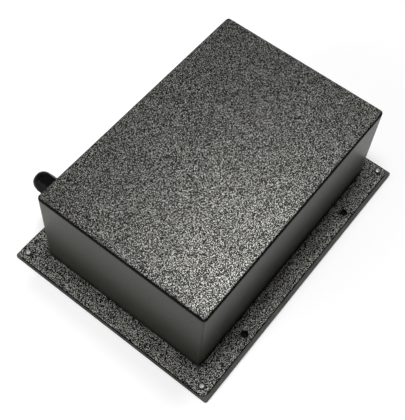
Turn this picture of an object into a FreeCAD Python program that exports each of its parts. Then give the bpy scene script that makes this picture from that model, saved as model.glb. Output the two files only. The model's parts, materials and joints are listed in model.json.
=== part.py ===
# Battery box of a barrier gate: a folded steel cover in a flange, screwed to a back plate
# that carries two lead-acid batteries in series with their clamp, fuse and terminal block.
# Millimetres. +X runs along the box, +Y towards the wall with the cable gland and +Z out of
# the flange. The origin is the centre of the mounting holes, on the back plate's underside.

import FreeCAD
import Part
import Sketcher
import math
import os
import re
from FreeCAD import Rotation, Vector

DIMENSIONS = [
    # back plate
    ("plate_proud_end", 1, "back plate beyond the flange's short edges"),
    ("plate_proud_front", 3, "back plate beyond the flange's long edge away from the gland"),
    ("plate_proud_back", 0.5, "back plate beyond the flange's long edge by the gland"),
    ("plate_corner", 2, "corner radius of the back plate"),
    ("plate_thickness", 2, "back plate sheet"),
    # flange round the cover
    ("flange_gland_end", 18, "flange beyond the cover at the gland's end"),
    ("flange_far_end", 14, "flange beyond the cover at the other end"),
    ("flange_side", 18.5, "flange beyond the cover's long walls"),
    ("flange_thickness", 1.5, "flange sheet"),
    ("flange_corner", 6, "outer corner radius of the flange"),
    ("mount_pitch_long", 145, "mounting holes apart along X"),
    ("mount_inset", 7, "mounting holes from the flange's long edges"),
    ("mount_bore", 6.5, "mounting hole diameter"),
    # folded cover
    ("wall", 1.5, "cover sheet"),
    ("corner_bend", 2.5, "inner radius of the upright corners"),
    ("top_bend", 0.5, "inner radius of the top edges"),
    ("roof_room", 6, "room between the studs and the roof"),
    ("foot_gap", 0.8, "gap between a wall's foot and the flange window"),
    ("foot_weld_rise", 0.8, "height of the weld in that gap"),
    ("relief_radius", 1.2, "relief hole in each window corner"),
    # corner screws
    ("screw_inset_long", 6.5, "corner screws from the flange's short edges"),
    ("screw_inset_wide", 7, "corner screws from the flange's long edges"),
    ("screw_shank", 3, "corner screw diameter"),
    ("screw_head", 5.6, "corner screw head diameter"),
    ("screw_head_rise", 2, "corner screw head height"),
    ("screw_head_round", 1.2, "rounding of the pan head"),
    ("screw_room", 0.3, "room round the shank in its holes"),
    ("screw_short", 0.4, "how far the tip stops above the underside"),
    # cable gland
    ("gland_inset", 23.5, "gland axis from the end wall"),
    ("gland_level", 60.4, "gland axis above the flange"),
    ("gland_thread", 12.5, "thread diameter of the gland"),
    ("gland_washer_rise", 1.5, "thickness of the sealing washer"),
    ("gland_washer_rim", 3.25, "sealing washer beyond the thread"),
    ("gland_base_wall", 1.75, "body's hexagon beyond the thread"),
    ("gland_base_rise", 4.5, "height of the body's hexagon"),
    ("gland_collar_rise", 15, "top of the upper thread from the wall"),
    ("gland_collar_wall", 1.45, "wall of the upper thread round the seal"),
    ("gland_ledge", 0.8, "ledge that the seal sits on"),
    ("gland_tail", 8.5, "thread that stands inside the wall"),
    ("gland_nut_wall", 1.25, "dome nut beyond the thread"),
    ("gland_nut_gap", 0.8, "gap under the dome nut"),
    ("gland_cone_room", 1.5, "dome's inner cone above the thread"),
    ("gland_cone", 4, "height of the dome's inner cone"),
    ("gland_lip", 3.7, "end wall of the dome"),
    ("gland_face", 0.46, "flat ring round the dome's mouth"),
    ("gland_mouth_room", 0.5, "room round the cable in the dome's mouth"),
    ("gland_running", 0.08, "radial room of the dome nut on its thread"),
    ("gland_seat", 9, "seat of the rubber seal from the wall"),
    ("gland_seal_gap", 2, "seal's end below the end of the cone"),
    ("cable_size", 6, "cable that the seal closes on"),
    ("locknut_wall", 2.25, "locknut beyond the thread"),
    ("locknut_rise", 5, "height of the locknut"),
    ("locknut_room", 1.5, "room between the locknut and battery B"),
    ("fit_room", 0.1, "radial room of pieces that do not move in each other"),
    # batteries
    ("battery_length", 151, "battery along Y"),
    ("battery_width", 65, "battery along Z, lying on its side"),
    ("battery_height", 94, "battery along X"),
    ("battery_lid", 14, "height of the battery's lid"),
    ("battery_corner", 2.5, "corner radius of the battery"),
    ("lid_step", 0.6, "how far the lid stands inside the case outline"),
    ("battery_end_room", 1, "room between battery A and the end wall"),
    ("battery_side_room", 2, "room between a battery and a long wall"),
    ("battery_gap", 12, "gap between the batteries"),
    ("pocket_long", 24, "terminal pocket along the battery"),
    ("pocket_wide", 26, "terminal pocket across the battery"),
    ("pocket_deep", 3, "depth of the terminal pocket"),
    ("terminal_from_end", 13, "terminal from the battery's end"),
    ("terminal_from_side", 12.5, "terminal from the battery's side"),
    ("tab_width", 4.75, "terminal tab width"),
    ("tab_thickness", 0.8, "terminal tab thickness"),
    ("tab_length", 8, "terminal tab length"),
    ("vent_gap", 7.5, "vent cover from the terminal pockets"),
    ("vent_side", 14.5, "vent cover from the battery's sides"),
    ("vent_thickness", 1.2, "vent cover thickness"),
    ("vent_recess", 1, "recess that the vent cover lies in"),
    ("pad_thickness", 3, "foam pads under the batteries"),
    ("pad_wide", 18, "foam pad along X"),
    ("pad_inset", 5.5, "foam pad from the battery's ends"),
    # battery stop
    ("stop_length", 66, "stop angle along Y"),
    ("stop_foot", 16, "foot of the stop angle"),
    ("stop_rise", 20, "height of the stop angle"),
    ("stop_sheet", 1.5, "stop angle sheet"),
    ("stop_bend", 2, "outer bend of the stop angle"),
    ("stop_room", 0.5, "room between the stop and battery B"),
    # hold-down
    ("clamp_long", 60, "hold-down plate along X"),
    ("clamp_wide", 90, "hold-down plate along Y"),
    ("clamp_sheet", 2, "hold-down sheet"),
    ("clamp_lip", 8, "height of the folded edges"),
    ("clamp_bend", 3, "outer bend of the folded edges"),
    ("rubber_wide", 18, "rubber strip along X"),
    ("rubber_inset", 5, "rubber strip from the plate's folded edges"),
    ("rubber_rise", 2, "rubber strip thickness"),
    ("stud_size", 5, "stud diameter"),
    ("stud_pitch", 60, "studs apart along Y"),
    ("stud_room", 0.4, "room round the stud in the hold-down plate"),
    ("stud_foot", 6.6, "diameter of the stud's welded foot"),
    ("stud_foot_rise", 1, "height of the stud's welded foot"),
    ("stud_spare", 3, "stud above its nut"),
    ("washer_size", 10, "washer diameter"),
    ("washer_rise", 1, "washer thickness"),
    ("nut_flats", 8, "across flats of the nut"),
    ("nut_rise", 4, "height of the nut"),
    # terminal block
    ("block_end_room", 1.5, "terminal block from the end wall"),
    ("block_side_room", 10.25, "terminal block from the long wall"),
    ("block_long", 17, "terminal block length along the wires"),
    ("block_cell", 6.5, "width of one pole"),
    ("block_rise", 9, "height of one pole"),
    ("block_web_long", 9, "web between the poles, along the wires"),
    ("block_web_rise", 3.5, "height of the web"),
    ("barrel_size", 4, "brass barrel diameter"),
    ("barrel_long", 12, "brass barrel length"),
    ("barrel_bore", 2.6, "bore of the brass barrel"),
    ("barrel_level", 5, "barrel axis above the back plate"),
    ("chimney_size", 5.2, "chimney round a clamping screw"),
    ("chimney_rise", 3, "height of the chimney"),
    ("chimney_pitch", 7, "chimneys apart along the wires"),
    ("clamp_screw", 2.6, "clamping screw diameter"),
    ("block_screw", 2.5, "fixing screw diameter"),
    ("block_screw_head", 4.4, "fixing screw head diameter"),
    ("block_screw_rise", 1.6, "fixing screw head height"),
    ("block_screw_room", 0.55, "room beside the fixing screw's head"),
    # fuse
    ("fuse_end_room", 3.5, "fuse holder from the end wall"),
    ("fuse_side_room", 19.5, "fuse holder from the long wall"),
    ("holder_rise", 11, "height of the fuse holder"),
    ("holder_corner", 2, "corner radius of the fuse holder"),
    ("blade_pitch", 10, "fuse blades apart"),
    ("blade_width", 5, "fuse blade width"),
    ("blade_thickness", 0.7, "fuse blade thickness"),
    ("blade_deep", 8, "fuse blade length in the holder"),
    ("fuse_head_long", 19, "fuse head along Y"),
    ("fuse_head_wide", 5, "fuse head along X"),
    ("fuse_head_rise", 5, "fuse head height"),
    ("cap_wall", 1.2, "wall of the fuse cap"),
    ("cap_room", 1.3, "room round the fuse head in the cap"),
    # leads and their receptacles
    ("lead_size", 2.6, "diameter of the leads"),
    ("lead_rise", 8, "straight rise of a lead over its receptacle"),
    ("boot_end", 1, "boot beyond the receptacle clip, along the tab"),
    ("boot_side", 1.7, "boot's side wall"),
    ("boot_cover", 1.3, "boot above and below the clip"),
    ("boot_barrel", 4.4, "diameter of the boot's barrel"),
    ("boot_barrel_long", 5.5, "length of the boot's barrel"),
    ("clip_side", 0.9, "receptacle clip beside the tab"),
    ("clip_edge", 0.825, "receptacle clip above and below the tab"),
    ("clip_long", 6.6, "receptacle clip length"),
]

# Gland: sizes that follow from its thread and its cable
GLAND_WASHER_SIZE = "(gland_thread + 2 * gland_washer_rim)"
GLAND_BASE_FLATS = "(gland_thread + 2 * gland_base_wall)"
GLAND_NUT_FLATS = "(gland_thread + 2 * gland_nut_wall)"
LOCKNUT_FLATS = "(gland_thread + 2 * locknut_wall)"
SEAL_SEAT = "(gland_thread / 2 - gland_collar_wall)"
SEAL_RIM = f"({SEAL_SEAT} - fit_room)"
GLAND_BORE = f"({SEAL_SEAT} - gland_ledge)"
GLAND_MOUTH = "(cable_size / 2 + gland_mouth_room)"
CONE_START = "(gland_collar_rise + gland_cone_room)"
CONE_END = f"({CONE_START} + gland_cone)"
GLAND_REACH = f"({CONE_END} + gland_lip)"
GLAND_DOME = f"({GLAND_NUT_FLATS} / sqrt(3) - {GLAND_MOUTH} - gland_face)"

# Cover and flange: the cover is as large as the batteries, the wiring and their room need
WIRING_ROOM = f"(gland_inset - wall + {LOCKNUT_FLATS} / 2 + locknut_room)"
BATTERY_ROOM = "(2 * battery_height + battery_gap + battery_end_room)"
BOX_LENGTH = f"({BATTERY_ROOM} + {WIRING_ROOM} + 2 * wall)"
BOX_WIDTH = "(battery_length + 2 * battery_side_room + 2 * wall)"
BOX_X = "((flange_gland_end - flange_far_end) / 2)"
FLANGE_LENGTH = f"({BOX_LENGTH} + flange_gland_end + flange_far_end)"
FLANGE_WIDTH = f"({BOX_WIDTH} + 2 * flange_side)"
MOUNT_PITCH_WIDE = f"({FLANGE_WIDTH} - 2 * mount_inset)"
SCREW_PITCH_LONG = f"({FLANGE_LENGTH} - 2 * screw_inset_long)"
SCREW_PITCH_WIDE = f"({FLANGE_WIDTH} - 2 * screw_inset_wide)"
INNER_END = f"({BOX_X} - {BOX_LENGTH} / 2 + wall)"
INNER_SIDE = f"({BOX_WIDTH} / 2 - wall)"

# Levels and places that several pieces share
PLATE_TOP = "plate_thickness"
FLANGE_TOP = "(plate_thickness + flange_thickness)"
GLAND_X = f"({INNER_END} - wall + gland_inset)"
GLAND_Z = f"({FLANGE_TOP} + gland_level)"
B_FACE = f"({INNER_END} + {WIRING_ROOM})"
A_FACE = f"({B_FACE} + battery_height + battery_gap)"
BATTERY_FLOOR = "(plate_thickness + pad_thickness)"
BATTERY_TOP = f"({BATTERY_FLOOR} + battery_width)"
TERMINAL_Y = "(battery_length / 2 - terminal_from_end)"
TERMINAL_Z = f"({BATTERY_TOP} - terminal_from_side)"
CLAMP_X = f"({A_FACE} - battery_gap / 2)"
CLAMP_Z = f"({BATTERY_TOP} + rubber_rise)"
CLAMP_TOP = f"({CLAMP_Z} + clamp_sheet)"
NUT_Z = f"({CLAMP_TOP} + washer_rise)"
STUD_TOP = f"({NUT_Z} + nut_rise + stud_spare)"
BOX_TOP = f"({STUD_TOP} + roof_room + wall)"

# Terminal block, fuse holder and receptacles
BLOCK_PITCH = "(block_cell + block_screw_head + 2 * block_screw_room)"
BLOCK_X = f"({INNER_END} + block_end_room + block_long / 2)"
BLOCK_Y = f"({INNER_SIDE} - block_side_room - ({BLOCK_PITCH} + block_cell) / 2)"
POLE_Z = "(plate_thickness + barrel_level)"
HOLDER_LONG = "(fuse_head_long + 2 * cap_room + 2 * cap_wall)"
HOLDER_WIDE = "(fuse_head_wide + 2 * cap_room + 2 * cap_wall)"
HOLDER_TOP = "(plate_thickness + holder_rise)"
CAP_RISE = "(fuse_head_rise + cap_room + cap_wall)"
FUSE_X = f"({INNER_END} + fuse_end_room + {HOLDER_WIDE} / 2)"
FUSE_Y = f"({HOLDER_LONG} / 2 + fuse_side_room - {INNER_SIDE})"
CLIP_THICK = "(tab_thickness + 2 * clip_side)"
CLIP_TALL = "(tab_width + 2 * clip_edge)"
BOOT_LONG = "(clip_long + boot_end)"
BOOT_THICK = f"({CLIP_THICK} + 2 * boot_side)"
BOOT_TALL = f"({CLIP_TALL} + 2 * boot_cover)"
BOOT_TOP = f"({TERMINAL_Z} + {BOOT_TALL} / 2)"

doc = FreeCAD.newDocument("battery_box")
sheet = doc.addObject("Spreadsheet::Sheet", "dims")
for row, (name, value, note) in enumerate(DIMENSIONS, start=1):
    sheet.set(f"A{row}", note)
    sheet.set(f"B{row}", str(value))
    sheet.setAlias(f"B{row}", name)
doc.recompute()

ALIAS = re.compile(r"\b(" + "|".join(name for name, value, note in DIMENSIONS) + r")\b")


def number(formula):
    """Value of a formula on the sheet."""
    return float(sheet.evalExpression(formula))


def drive(item, target, formula):
    """Bind a property or a sketch constraint to a formula on the sheet."""
    item.setExpression(target, ALIAS.sub(r"dims.\1", formula))


def new_body(label):
    """An empty body whose name is its node's name."""
    body = doc.addObject("PartDesign::Body", label)
    body.Label = label
    return body


def origin_plane(body, role):
    """The body's own origin plane or axis with this role."""
    return next(item for item in body.Origin.OriginFeatures if item.Role == role)


def sketch(body, name, level="0", role="XY_Plane"):
    """A sketch on an origin plane of the body, moved along the plane's normal."""
    profile = body.newObject("Sketcher::SketchObject", name)
    profile.AttachmentSupport = [(origin_plane(body, role), "")]
    profile.MapMode = "FlatFace"
    drive(profile, "AttachmentOffset.Base.z", level)
    return profile


def measure(profile, kind, geometry, formula):
    """Add a dimension to a sketch and bind it."""
    index = profile.addConstraint(Sketcher.Constraint(kind, *geometry, number(formula)))
    drive(profile, f"Constraints[{index}]", formula)


def polygon(profile, corners):
    """A closed straight outline whose corners are pairs of formulas."""
    first = profile.GeometryCount
    count = len(corners)
    points = [Vector(number(x), number(y), 0) for x, y in corners]
    for side in range(count):
        profile.addGeometry(Part.LineSegment(points[side], points[(side + 1) % count]), False)
    for side, (x, y) in enumerate(corners):
        following = first + (side + 1) % count
        profile.addConstraint(Sketcher.Constraint("Coincident", first + side, 2, following, 1))
        measure(profile, "DistanceX", (-1, 1, first + side, 1), x)
        measure(profile, "DistanceY", (-1, 1, first + side, 1), y)


def rectangle(profile, length, width, x="0", y="0"):
    """A rectangle round a centre."""
    left, right = f"{x} - {length} / 2", f"{x} + {length} / 2"
    low, high = f"{y} - {width} / 2", f"{y} + {width} / 2"
    polygon(profile, [(left, low), (right, low), (right, high), (left, high)])


def rounded(profile, length, width, radius, x="0", y="0"):
    """A rectangle round a centre, with its four corners rounded."""
    left, right = number(f"{x} - {length} / 2"), number(f"{x} + {length} / 2")
    low, high = number(f"{y} - {width} / 2"), number(f"{y} + {width} / 2")
    bend = number(radius)
    starts = [(left + bend, low), (right, low + bend), (right - bend, high), (left, high - bend)]
    ends = [(right - bend, low), (right, high - bend), (left + bend, high), (left, low + bend)]
    centres = [(right - bend, low + bend), (right - bend, high - bend),
               (left + bend, high - bend), (left + bend, low + bend)]
    first = profile.GeometryCount
    for side in range(4):
        profile.addGeometry(Part.LineSegment(Vector(*starts[side], 0), Vector(*ends[side], 0)), False)
        circle = Part.Circle(Vector(*centres[side], 0), Vector(0, 0, 1), bend)
        turn = math.pi / 2 * (side - 1)
        profile.addGeometry(Part.ArcOfCircle(circle, turn, turn + math.pi / 2), False)
    for side in range(4):
        line = first + 2 * side
        following = first + (2 * side + 2) % 8
        profile.addConstraint(Sketcher.Constraint("Tangent", line, 2, line + 1, 1))
        profile.addConstraint(Sketcher.Constraint("Tangent", line + 1, 2, following, 1))
        profile.addConstraint(Sketcher.Constraint("Vertical" if side % 2 else "Horizontal", line))
        if side:
            profile.addConstraint(Sketcher.Constraint("Equal", first + 1, line + 1))
    measure(profile, "Radius", (first + 1,), radius)
    measure(profile, "DistanceY", (-1, 1, first, 1), f"{y} - {width} / 2")
    measure(profile, "DistanceX", (-1, 1, first + 2, 1), f"{x} + {length} / 2")
    measure(profile, "DistanceY", (-1, 1, first + 4, 1), f"{y} + {width} / 2")
    measure(profile, "DistanceX", (-1, 1, first + 6, 1), f"{x} - {length} / 2")


def circles(profile, radius, centres):
    """Equal circles at pairs of formulas."""
    for x, y in centres:
        middle = Vector(number(x), number(y), 0)
        index = profile.addGeometry(Part.Circle(middle, Vector(0, 0, 1), number(radius)), False)
        measure(profile, "Radius", (index,), radius)
        measure(profile, "DistanceX", (-1, 1, index, 3), x)
        measure(profile, "DistanceY", (-1, 1, index, 3), y)


def hexagon(profile, flats, x="0", y="0", turn=30):
    """A regular hexagon of a given size across its flats."""
    angles = [turn + 60 * corner for corner in range(6)]
    reach = f"{flats} / sqrt(3)"
    polygon(profile, [(f"{x} + {reach} * cos({a})", f"{y} + {reach} * sin({a})") for a in angles])


def four_corners(pitch_long, pitch_wide, x="0"):
    """Centres of a rectangular pattern of four."""
    return [(f"{x} + {a} * {pitch_long} / 2", f"{b} * {pitch_wide} / 2")
            for a in (-1, 1) for b in (-1, 1)]


def plate_holes(profile):
    """The holes that flange and back plate share: for the mounting bolts and the corner screws."""
    circles(profile, "mount_bore / 2", four_corners("mount_pitch_long", MOUNT_PITCH_WIDE))
    circles(profile, "screw_shank / 2 + screw_room", four_corners(SCREW_PITCH_LONG, SCREW_PITCH_WIDE))


def pad(body, name, profile, length):
    """Raise a profile along its plane's normal."""
    feature = body.newObject("PartDesign::Pad", name)
    feature.Profile = profile
    drive(feature, "Length", length)
    doc.recompute()
    return feature


def pocket(body, name, profile, length):
    """Cut a profile along its plane's normal, and make sure that it cuts."""
    before = body.Shape.Volume
    feature = body.newObject("PartDesign::Pocket", name)
    feature.Profile = profile
    feature.Reversed = True
    drive(feature, "Length", length)
    doc.recompute()
    if body.Shape.Volume >= before:
        raise RuntimeError(f"{body.Label}: {name} cuts nothing")
    return feature


def revolve(body, name, profile):
    """Turn a half profile about its own upright axis."""
    feature = body.newObject("PartDesign::Revolution", name)
    feature.Profile = profile
    feature.ReferenceAxis = (profile, ["V_Axis"])
    doc.recompute()
    return feature


def fillet(body, name, radius, chosen):
    """Round the edges of the body's last feature that a test chooses."""
    base = body.Tip
    edges = [f"Edge{n}" for n, edge in enumerate(base.Shape.Edges, start=1) if chosen(edge.BoundBox)]
    feature = body.newObject("PartDesign::Fillet", name)
    feature.Base = (base, edges)
    drive(feature, "Radius", radius)
    doc.recompute()
    return feature


def at_level(level):
    """A test that chooses the edges that lie at one height."""
    height = number(level)
    return lambda box: abs(box.ZMin - height) < 0.01 and abs(box.ZMax - height) < 0.01


def six_flats(body, flats, bottom, height):
    """Cut six flats into a turned piece between two heights."""
    profile = sketch(body, "flat", bottom)
    outside = f"{flats}"
    polygon(profile, [(f"{flats} / 2", f"-{outside}"), (outside, f"-{outside}"),
                      (outside, outside), (f"{flats} / 2", outside)])
    cut = pocket(body, "flat_cut", profile, height)
    before = body.Shape.Volume
    pattern = body.newObject("PartDesign::PolarPattern", "flats")
    pattern.Originals = [cut]
    pattern.Axis = (origin_plane(body, "Z_Axis"), [""])
    pattern.Angle = 360
    pattern.Occurrences = 6
    body.Tip = pattern
    doc.recompute()
    if body.Shape.Volume >= before:
        raise RuntimeError(f"{body.Label}: the flats cut nothing")


def back_plate():
    body = new_body("back_plate")
    profile = sketch(body, "outline")
    rounded(profile, f"({FLANGE_LENGTH} + 2 * plate_proud_end)",
            f"({FLANGE_WIDTH} + plate_proud_front + plate_proud_back)", "plate_corner",
            y="((plate_proud_back - plate_proud_front) / 2)")
    plate_holes(profile)
    circles(profile, "block_screw / 2 + fit_room", [(BLOCK_X, BLOCK_Y)])
    pad(body, "sheet", profile, "plate_thickness")
    return body


def flange_frame():
    """The flange plate, with its window for the cover and reliefs in the window's corners."""
    body = new_body("flange_frame")
    profile = sketch(body, "outline", PLATE_TOP)
    rounded(profile, FLANGE_LENGTH, FLANGE_WIDTH, "flange_corner")
    window_long, window_wide = f"({BOX_LENGTH} + 2 * foot_gap)", f"({BOX_WIDTH} + 2 * foot_gap)"
    rectangle(profile, window_long, window_wide, BOX_X)
    plate_holes(profile)
    pad(body, "sheet", profile, "flange_thickness")
    reliefs = sketch(body, "reliefs", PLATE_TOP)
    circles(reliefs, "relief_radius", four_corners(window_long, window_wide, BOX_X))
    pocket(body, "relief_cut", reliefs, "flange_thickness")
    return body


def housing_pan():
    """The cover, folded up from one sheet, with the gland's hole in its +Y wall."""
    body = new_body("housing_pan")
    full_height = f"({BOX_TOP} - {PLATE_TOP})"
    outside = sketch(body, "outside", PLATE_TOP)
    rounded(outside, BOX_LENGTH, BOX_WIDTH, "corner_bend + wall", BOX_X)
    pad(body, "block", outside, full_height)
    fillet(body, "top_bends", "top_bend + wall", at_level(BOX_TOP))
    inside = sketch(body, "inside", PLATE_TOP)
    rounded(inside, f"({BOX_LENGTH} - 2 * wall)", f"({BOX_WIDTH} - 2 * wall)", "corner_bend", BOX_X)
    pocket(body, "hollow", inside, f"{full_height} - wall")
    fillet(body, "inner_bends", "top_bend", at_level(f"{BOX_TOP} - wall"))
    gland = sketch(body, "gland_hole", f"-({BOX_WIDTH} / 2 + wall)", "XZ_Plane")
    circles(gland, "gland_thread / 2 + fit_room", [(GLAND_X, GLAND_Z)])
    pocket(body, "gland_cut", gland, "3 * wall")
    return body


def foot_weld():
    """The weld at the bottom of the gap between the cover's foot and the flange."""
    body = new_body("foot_weld")
    profile = sketch(body, "outline", PLATE_TOP)
    rounded(profile, f"({BOX_LENGTH} + 2 * foot_gap)", f"({BOX_WIDTH} + 2 * foot_gap)",
            "corner_bend + wall + foot_gap", BOX_X)
    rounded(profile, BOX_LENGTH, BOX_WIDTH, "corner_bend + wall", BOX_X)
    pad(body, "bead", profile, "foot_weld_rise")
    return body


def corner_screws():
    """Four pan-head screws through the flange into the back plate."""
    body = new_body("corner_screws")
    places = four_corners(SCREW_PITCH_LONG, SCREW_PITCH_WIDE)
    shanks = sketch(body, "shanks", "screw_short")
    circles(shanks, "screw_shank / 2", places)
    pad(body, "shank", shanks, f"{FLANGE_TOP} - screw_short")
    heads = sketch(body, "heads", FLANGE_TOP)
    circles(heads, "screw_head / 2", places)
    pad(body, "head", heads, "screw_head_rise")
    fillet(body, "pan_round", "screw_head_round", at_level(f"{FLANGE_TOP} + screw_head_rise"))
    return body


def on_gland_axis(body):
    """Turn a gland piece so that its own +Z runs out of the +Y wall."""
    body.Placement.Rotation = Rotation(Vector(1, 0, 0), -90)
    drive(body, "Placement.Base.x", GLAND_X)
    drive(body, "Placement.Base.y", f"{BOX_WIDTH} / 2")
    drive(body, "Placement.Base.z", GLAND_Z)
    return body


def gland_body():
    body = new_body("gland_body")
    profile = sketch(body, "half", role="XZ_Plane")
    thread = "gland_thread / 2"
    hexagon_reach = f"{GLAND_BASE_FLATS} / sqrt(3)"
    base_top = "gland_washer_rise + gland_base_rise"
    tail = "-(wall + gland_tail)"
    polygon(profile, [(GLAND_BORE, tail), (thread, tail), (thread, "gland_washer_rise"),
                      (hexagon_reach, "gland_washer_rise"), (hexagon_reach, base_top),
                      (thread, base_top), (thread, "gland_collar_rise"),
                      (SEAL_SEAT, "gland_collar_rise"), (SEAL_SEAT, "gland_seat"),
                      (GLAND_BORE, "gland_seat")])
    revolve(body, "turned", profile)
    six_flats(body, GLAND_BASE_FLATS, "gland_washer_rise", "gland_base_rise")
    return on_gland_axis(body)


def gland_washer():
    body = new_body("gland_washer")
    profile = sketch(body, "ring")
    circles(profile, f"{GLAND_WASHER_SIZE} / 2", [("0", "0")])
    circles(profile, "gland_thread / 2 + fit_room", [("0", "0")])
    pad(body, "disc", profile, "gland_washer_rise")
    return on_gland_axis(body)


def gland_locknut():
    body = new_body("gland_locknut")
    profile = sketch(body, "ring", "-(wall + locknut_rise)")
    hexagon(profile, LOCKNUT_FLATS)
    circles(profile, "gland_thread / 2 + fit_room", [("0", "0")])
    pad(body, "nut", profile, "locknut_rise")
    return on_gland_axis(body)


def gland_seal():
    """The rubber sleeve that the dome nut squeezes on to the cable."""
    body = new_body("gland_seal")
    profile = sketch(body, "half", role="XZ_Plane")
    bore = "cable_size / 2"
    top = f"({CONE_END} - gland_seal_gap)"
    shoulder = f"(0.3 * gland_seat + 0.7 * {top})"
    polygon(profile, [(bore, "gland_seat"), (SEAL_RIM, "gland_seat"), (SEAL_RIM, shoulder),
                      (f"({bore} + {SEAL_RIM}) / 2", top), (bore, top)])
    revolve(body, "turned", profile)
    return on_gland_axis(body)


def gland_nut():
    """The domed cap nut, which turns on the body's upper thread."""
    body = new_body("gland_nut")
    profile = sketch(body, "half", role="XZ_Plane")
    bottom = "(gland_washer_rise + gland_base_rise + gland_nut_gap)"
    bore = "gland_thread / 2 + gland_running"
    reach = f"{GLAND_NUT_FLATS} / sqrt(3)"
    polygon(profile, [(bore, bottom), (reach, bottom), (reach, GLAND_REACH),
                      (GLAND_MOUTH, GLAND_REACH), (GLAND_MOUTH, CONE_END), (bore, CONE_START)])
    revolve(body, "turned", profile)
    tip = number(GLAND_REACH)
    widest = number(GLAND_NUT_FLATS)
    fillet(body, "dome", GLAND_DOME, lambda box: abs(box.ZMin - tip) < 0.01 and box.XLength > widest)
    six_flats(body, GLAND_NUT_FLATS, bottom, f"{GLAND_REACH} - {GLAND_DOME} - {bottom}")
    return on_gland_axis(body)


VENT_LONG = "(battery_length - 2 * pocket_long - 2 * vent_gap)"
VENT_WIDE = "(battery_width - 2 * vent_side)"


def on_battery(body, face):
    """Place a battery piece: its own X runs from the lid's face into the battery."""
    drive(body, "Placement.Base.x", face)
    drive(body, "Placement.Base.z", BATTERY_FLOOR)
    return body


def battery_case(letter, face):
    body = new_body(f"battery_{letter}_case")
    profile = sketch(body, "outline", "battery_lid", "YZ_Plane")
    rounded(profile, "battery_length", "battery_width", "battery_corner", y="battery_width / 2")
    pad(body, "block", profile, "battery_height - battery_lid")
    far = number("battery_height")
    fillet(body, "base_round", "battery_corner / 2", lambda box: abs(box.XMin - far) < 0.01)
    return on_battery(body, face)


def battery_lid(letter, face):
    """The lid, with a pocket at each terminal and a recess for the vent cover."""
    body = new_body(f"battery_{letter}_lid")
    profile = sketch(body, "outline", role="YZ_Plane")
    rounded(profile, "(battery_length - 2 * lid_step)", "(battery_width - 2 * lid_step)",
            "battery_corner", y="battery_width / 2")
    pad(body, "block", profile, "battery_lid")
    fillet(body, "rim_round", "lid_step", lambda box: abs(box.XMax) < 0.01)
    pockets = sketch(body, "pockets", role="YZ_Plane")
    for side in (-1, 1):
        rectangle(pockets, "pocket_long", "pocket_wide", f"{side} * (battery_length - pocket_long) / 2",
                  "battery_width - pocket_wide / 2")
    pocket(body, "pocket_cut", pockets, "pocket_deep")
    vent = sketch(body, "vent", role="YZ_Plane")
    rectangle(vent, f"({VENT_LONG} + 2 * fit_room)", f"({VENT_WIDE} + 2 * fit_room)",
              y="battery_width / 2")
    pocket(body, "vent_cut", vent, "vent_recess")
    return on_battery(body, face)


def battery_vent_cover(letter, face):
    body = new_body(f"battery_{letter}_vent_cover")
    profile = sketch(body, "outline", "vent_recess - vent_thickness", "YZ_Plane")
    rounded(profile, VENT_LONG, VENT_WIDE, "battery_corner", y="battery_width / 2")
    pad(body, "plate", profile, "vent_thickness")
    return on_battery(body, face)


def battery_terminals(letter, face):
    body = new_body(f"battery_{letter}_terminals")
    profile = sketch(body, "tabs", "pocket_deep - tab_length", "YZ_Plane")
    for side in (-1, 1):
        rectangle(profile, "tab_thickness", "tab_width", f"{side} * {TERMINAL_Y}",
                  "battery_width - terminal_from_side")
    pad(body, "tab", profile, "tab_length")
    return on_battery(body, face)


def base_pads():
    """Foam strips that the batteries lie on."""
    body = new_body("base_pads")
    profile = sketch(body, "strips", PLATE_TOP)
    for face in (A_FACE, B_FACE):
        for share in ("0.2", "0.8"):
            middle = f"({face} + {share} * battery_height)"
            rectangle(profile, "pad_wide", "(battery_length - 2 * pad_inset)", middle)
    pad(body, "strip", profile, "pad_thickness")
    return body


def battery_stop():
    """The angle on the back plate that keeps battery B away from the wiring."""
    body = new_body("battery_stop")
    profile = sketch(body, "section", "-stop_length / 2", "XZ_Plane")
    front = f"({B_FACE} - stop_room)"
    polygon(profile, [(front, PLATE_TOP), (front, "plate_thickness + stop_rise"),
                      (f"{front} - stop_sheet", "plate_thickness + stop_rise"),
                      (f"{front} - stop_sheet", "plate_thickness + stop_sheet"),
                      (f"{front} - stop_foot", "plate_thickness + stop_sheet"),
                      (f"{front} - stop_foot", PLATE_TOP)])
    pad(body, "angle", profile, "stop_length")
    corner = number(front)
    floor = number(PLATE_TOP)
    fillet(body, "bend", "stop_bend", lambda box: abs(box.XMin - corner) < 0.01
           and abs(box.XMax - corner) < 0.01 and abs(box.ZMin - floor) < 0.01
           and abs(box.ZMax - floor) < 0.01)
    return body


STUD_PLACES = [(CLAMP_X, f"{side} * stud_pitch / 2") for side in (-1, 1)]


def hold_down_studs():
    body = new_body("hold_down_studs")
    feet = sketch(body, "feet", PLATE_TOP)
    circles(feet, "stud_foot / 2", STUD_PLACES)
    pad(body, "foot", feet, "stud_foot_rise")
    shanks = sketch(body, "shanks", PLATE_TOP)
    circles(shanks, "stud_size / 2", STUD_PLACES)
    pad(body, "shank", shanks, f"{STUD_TOP} - {PLATE_TOP}")
    fillet(body, "tip_round", "stud_size / 10", at_level(STUD_TOP))
    return body


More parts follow.
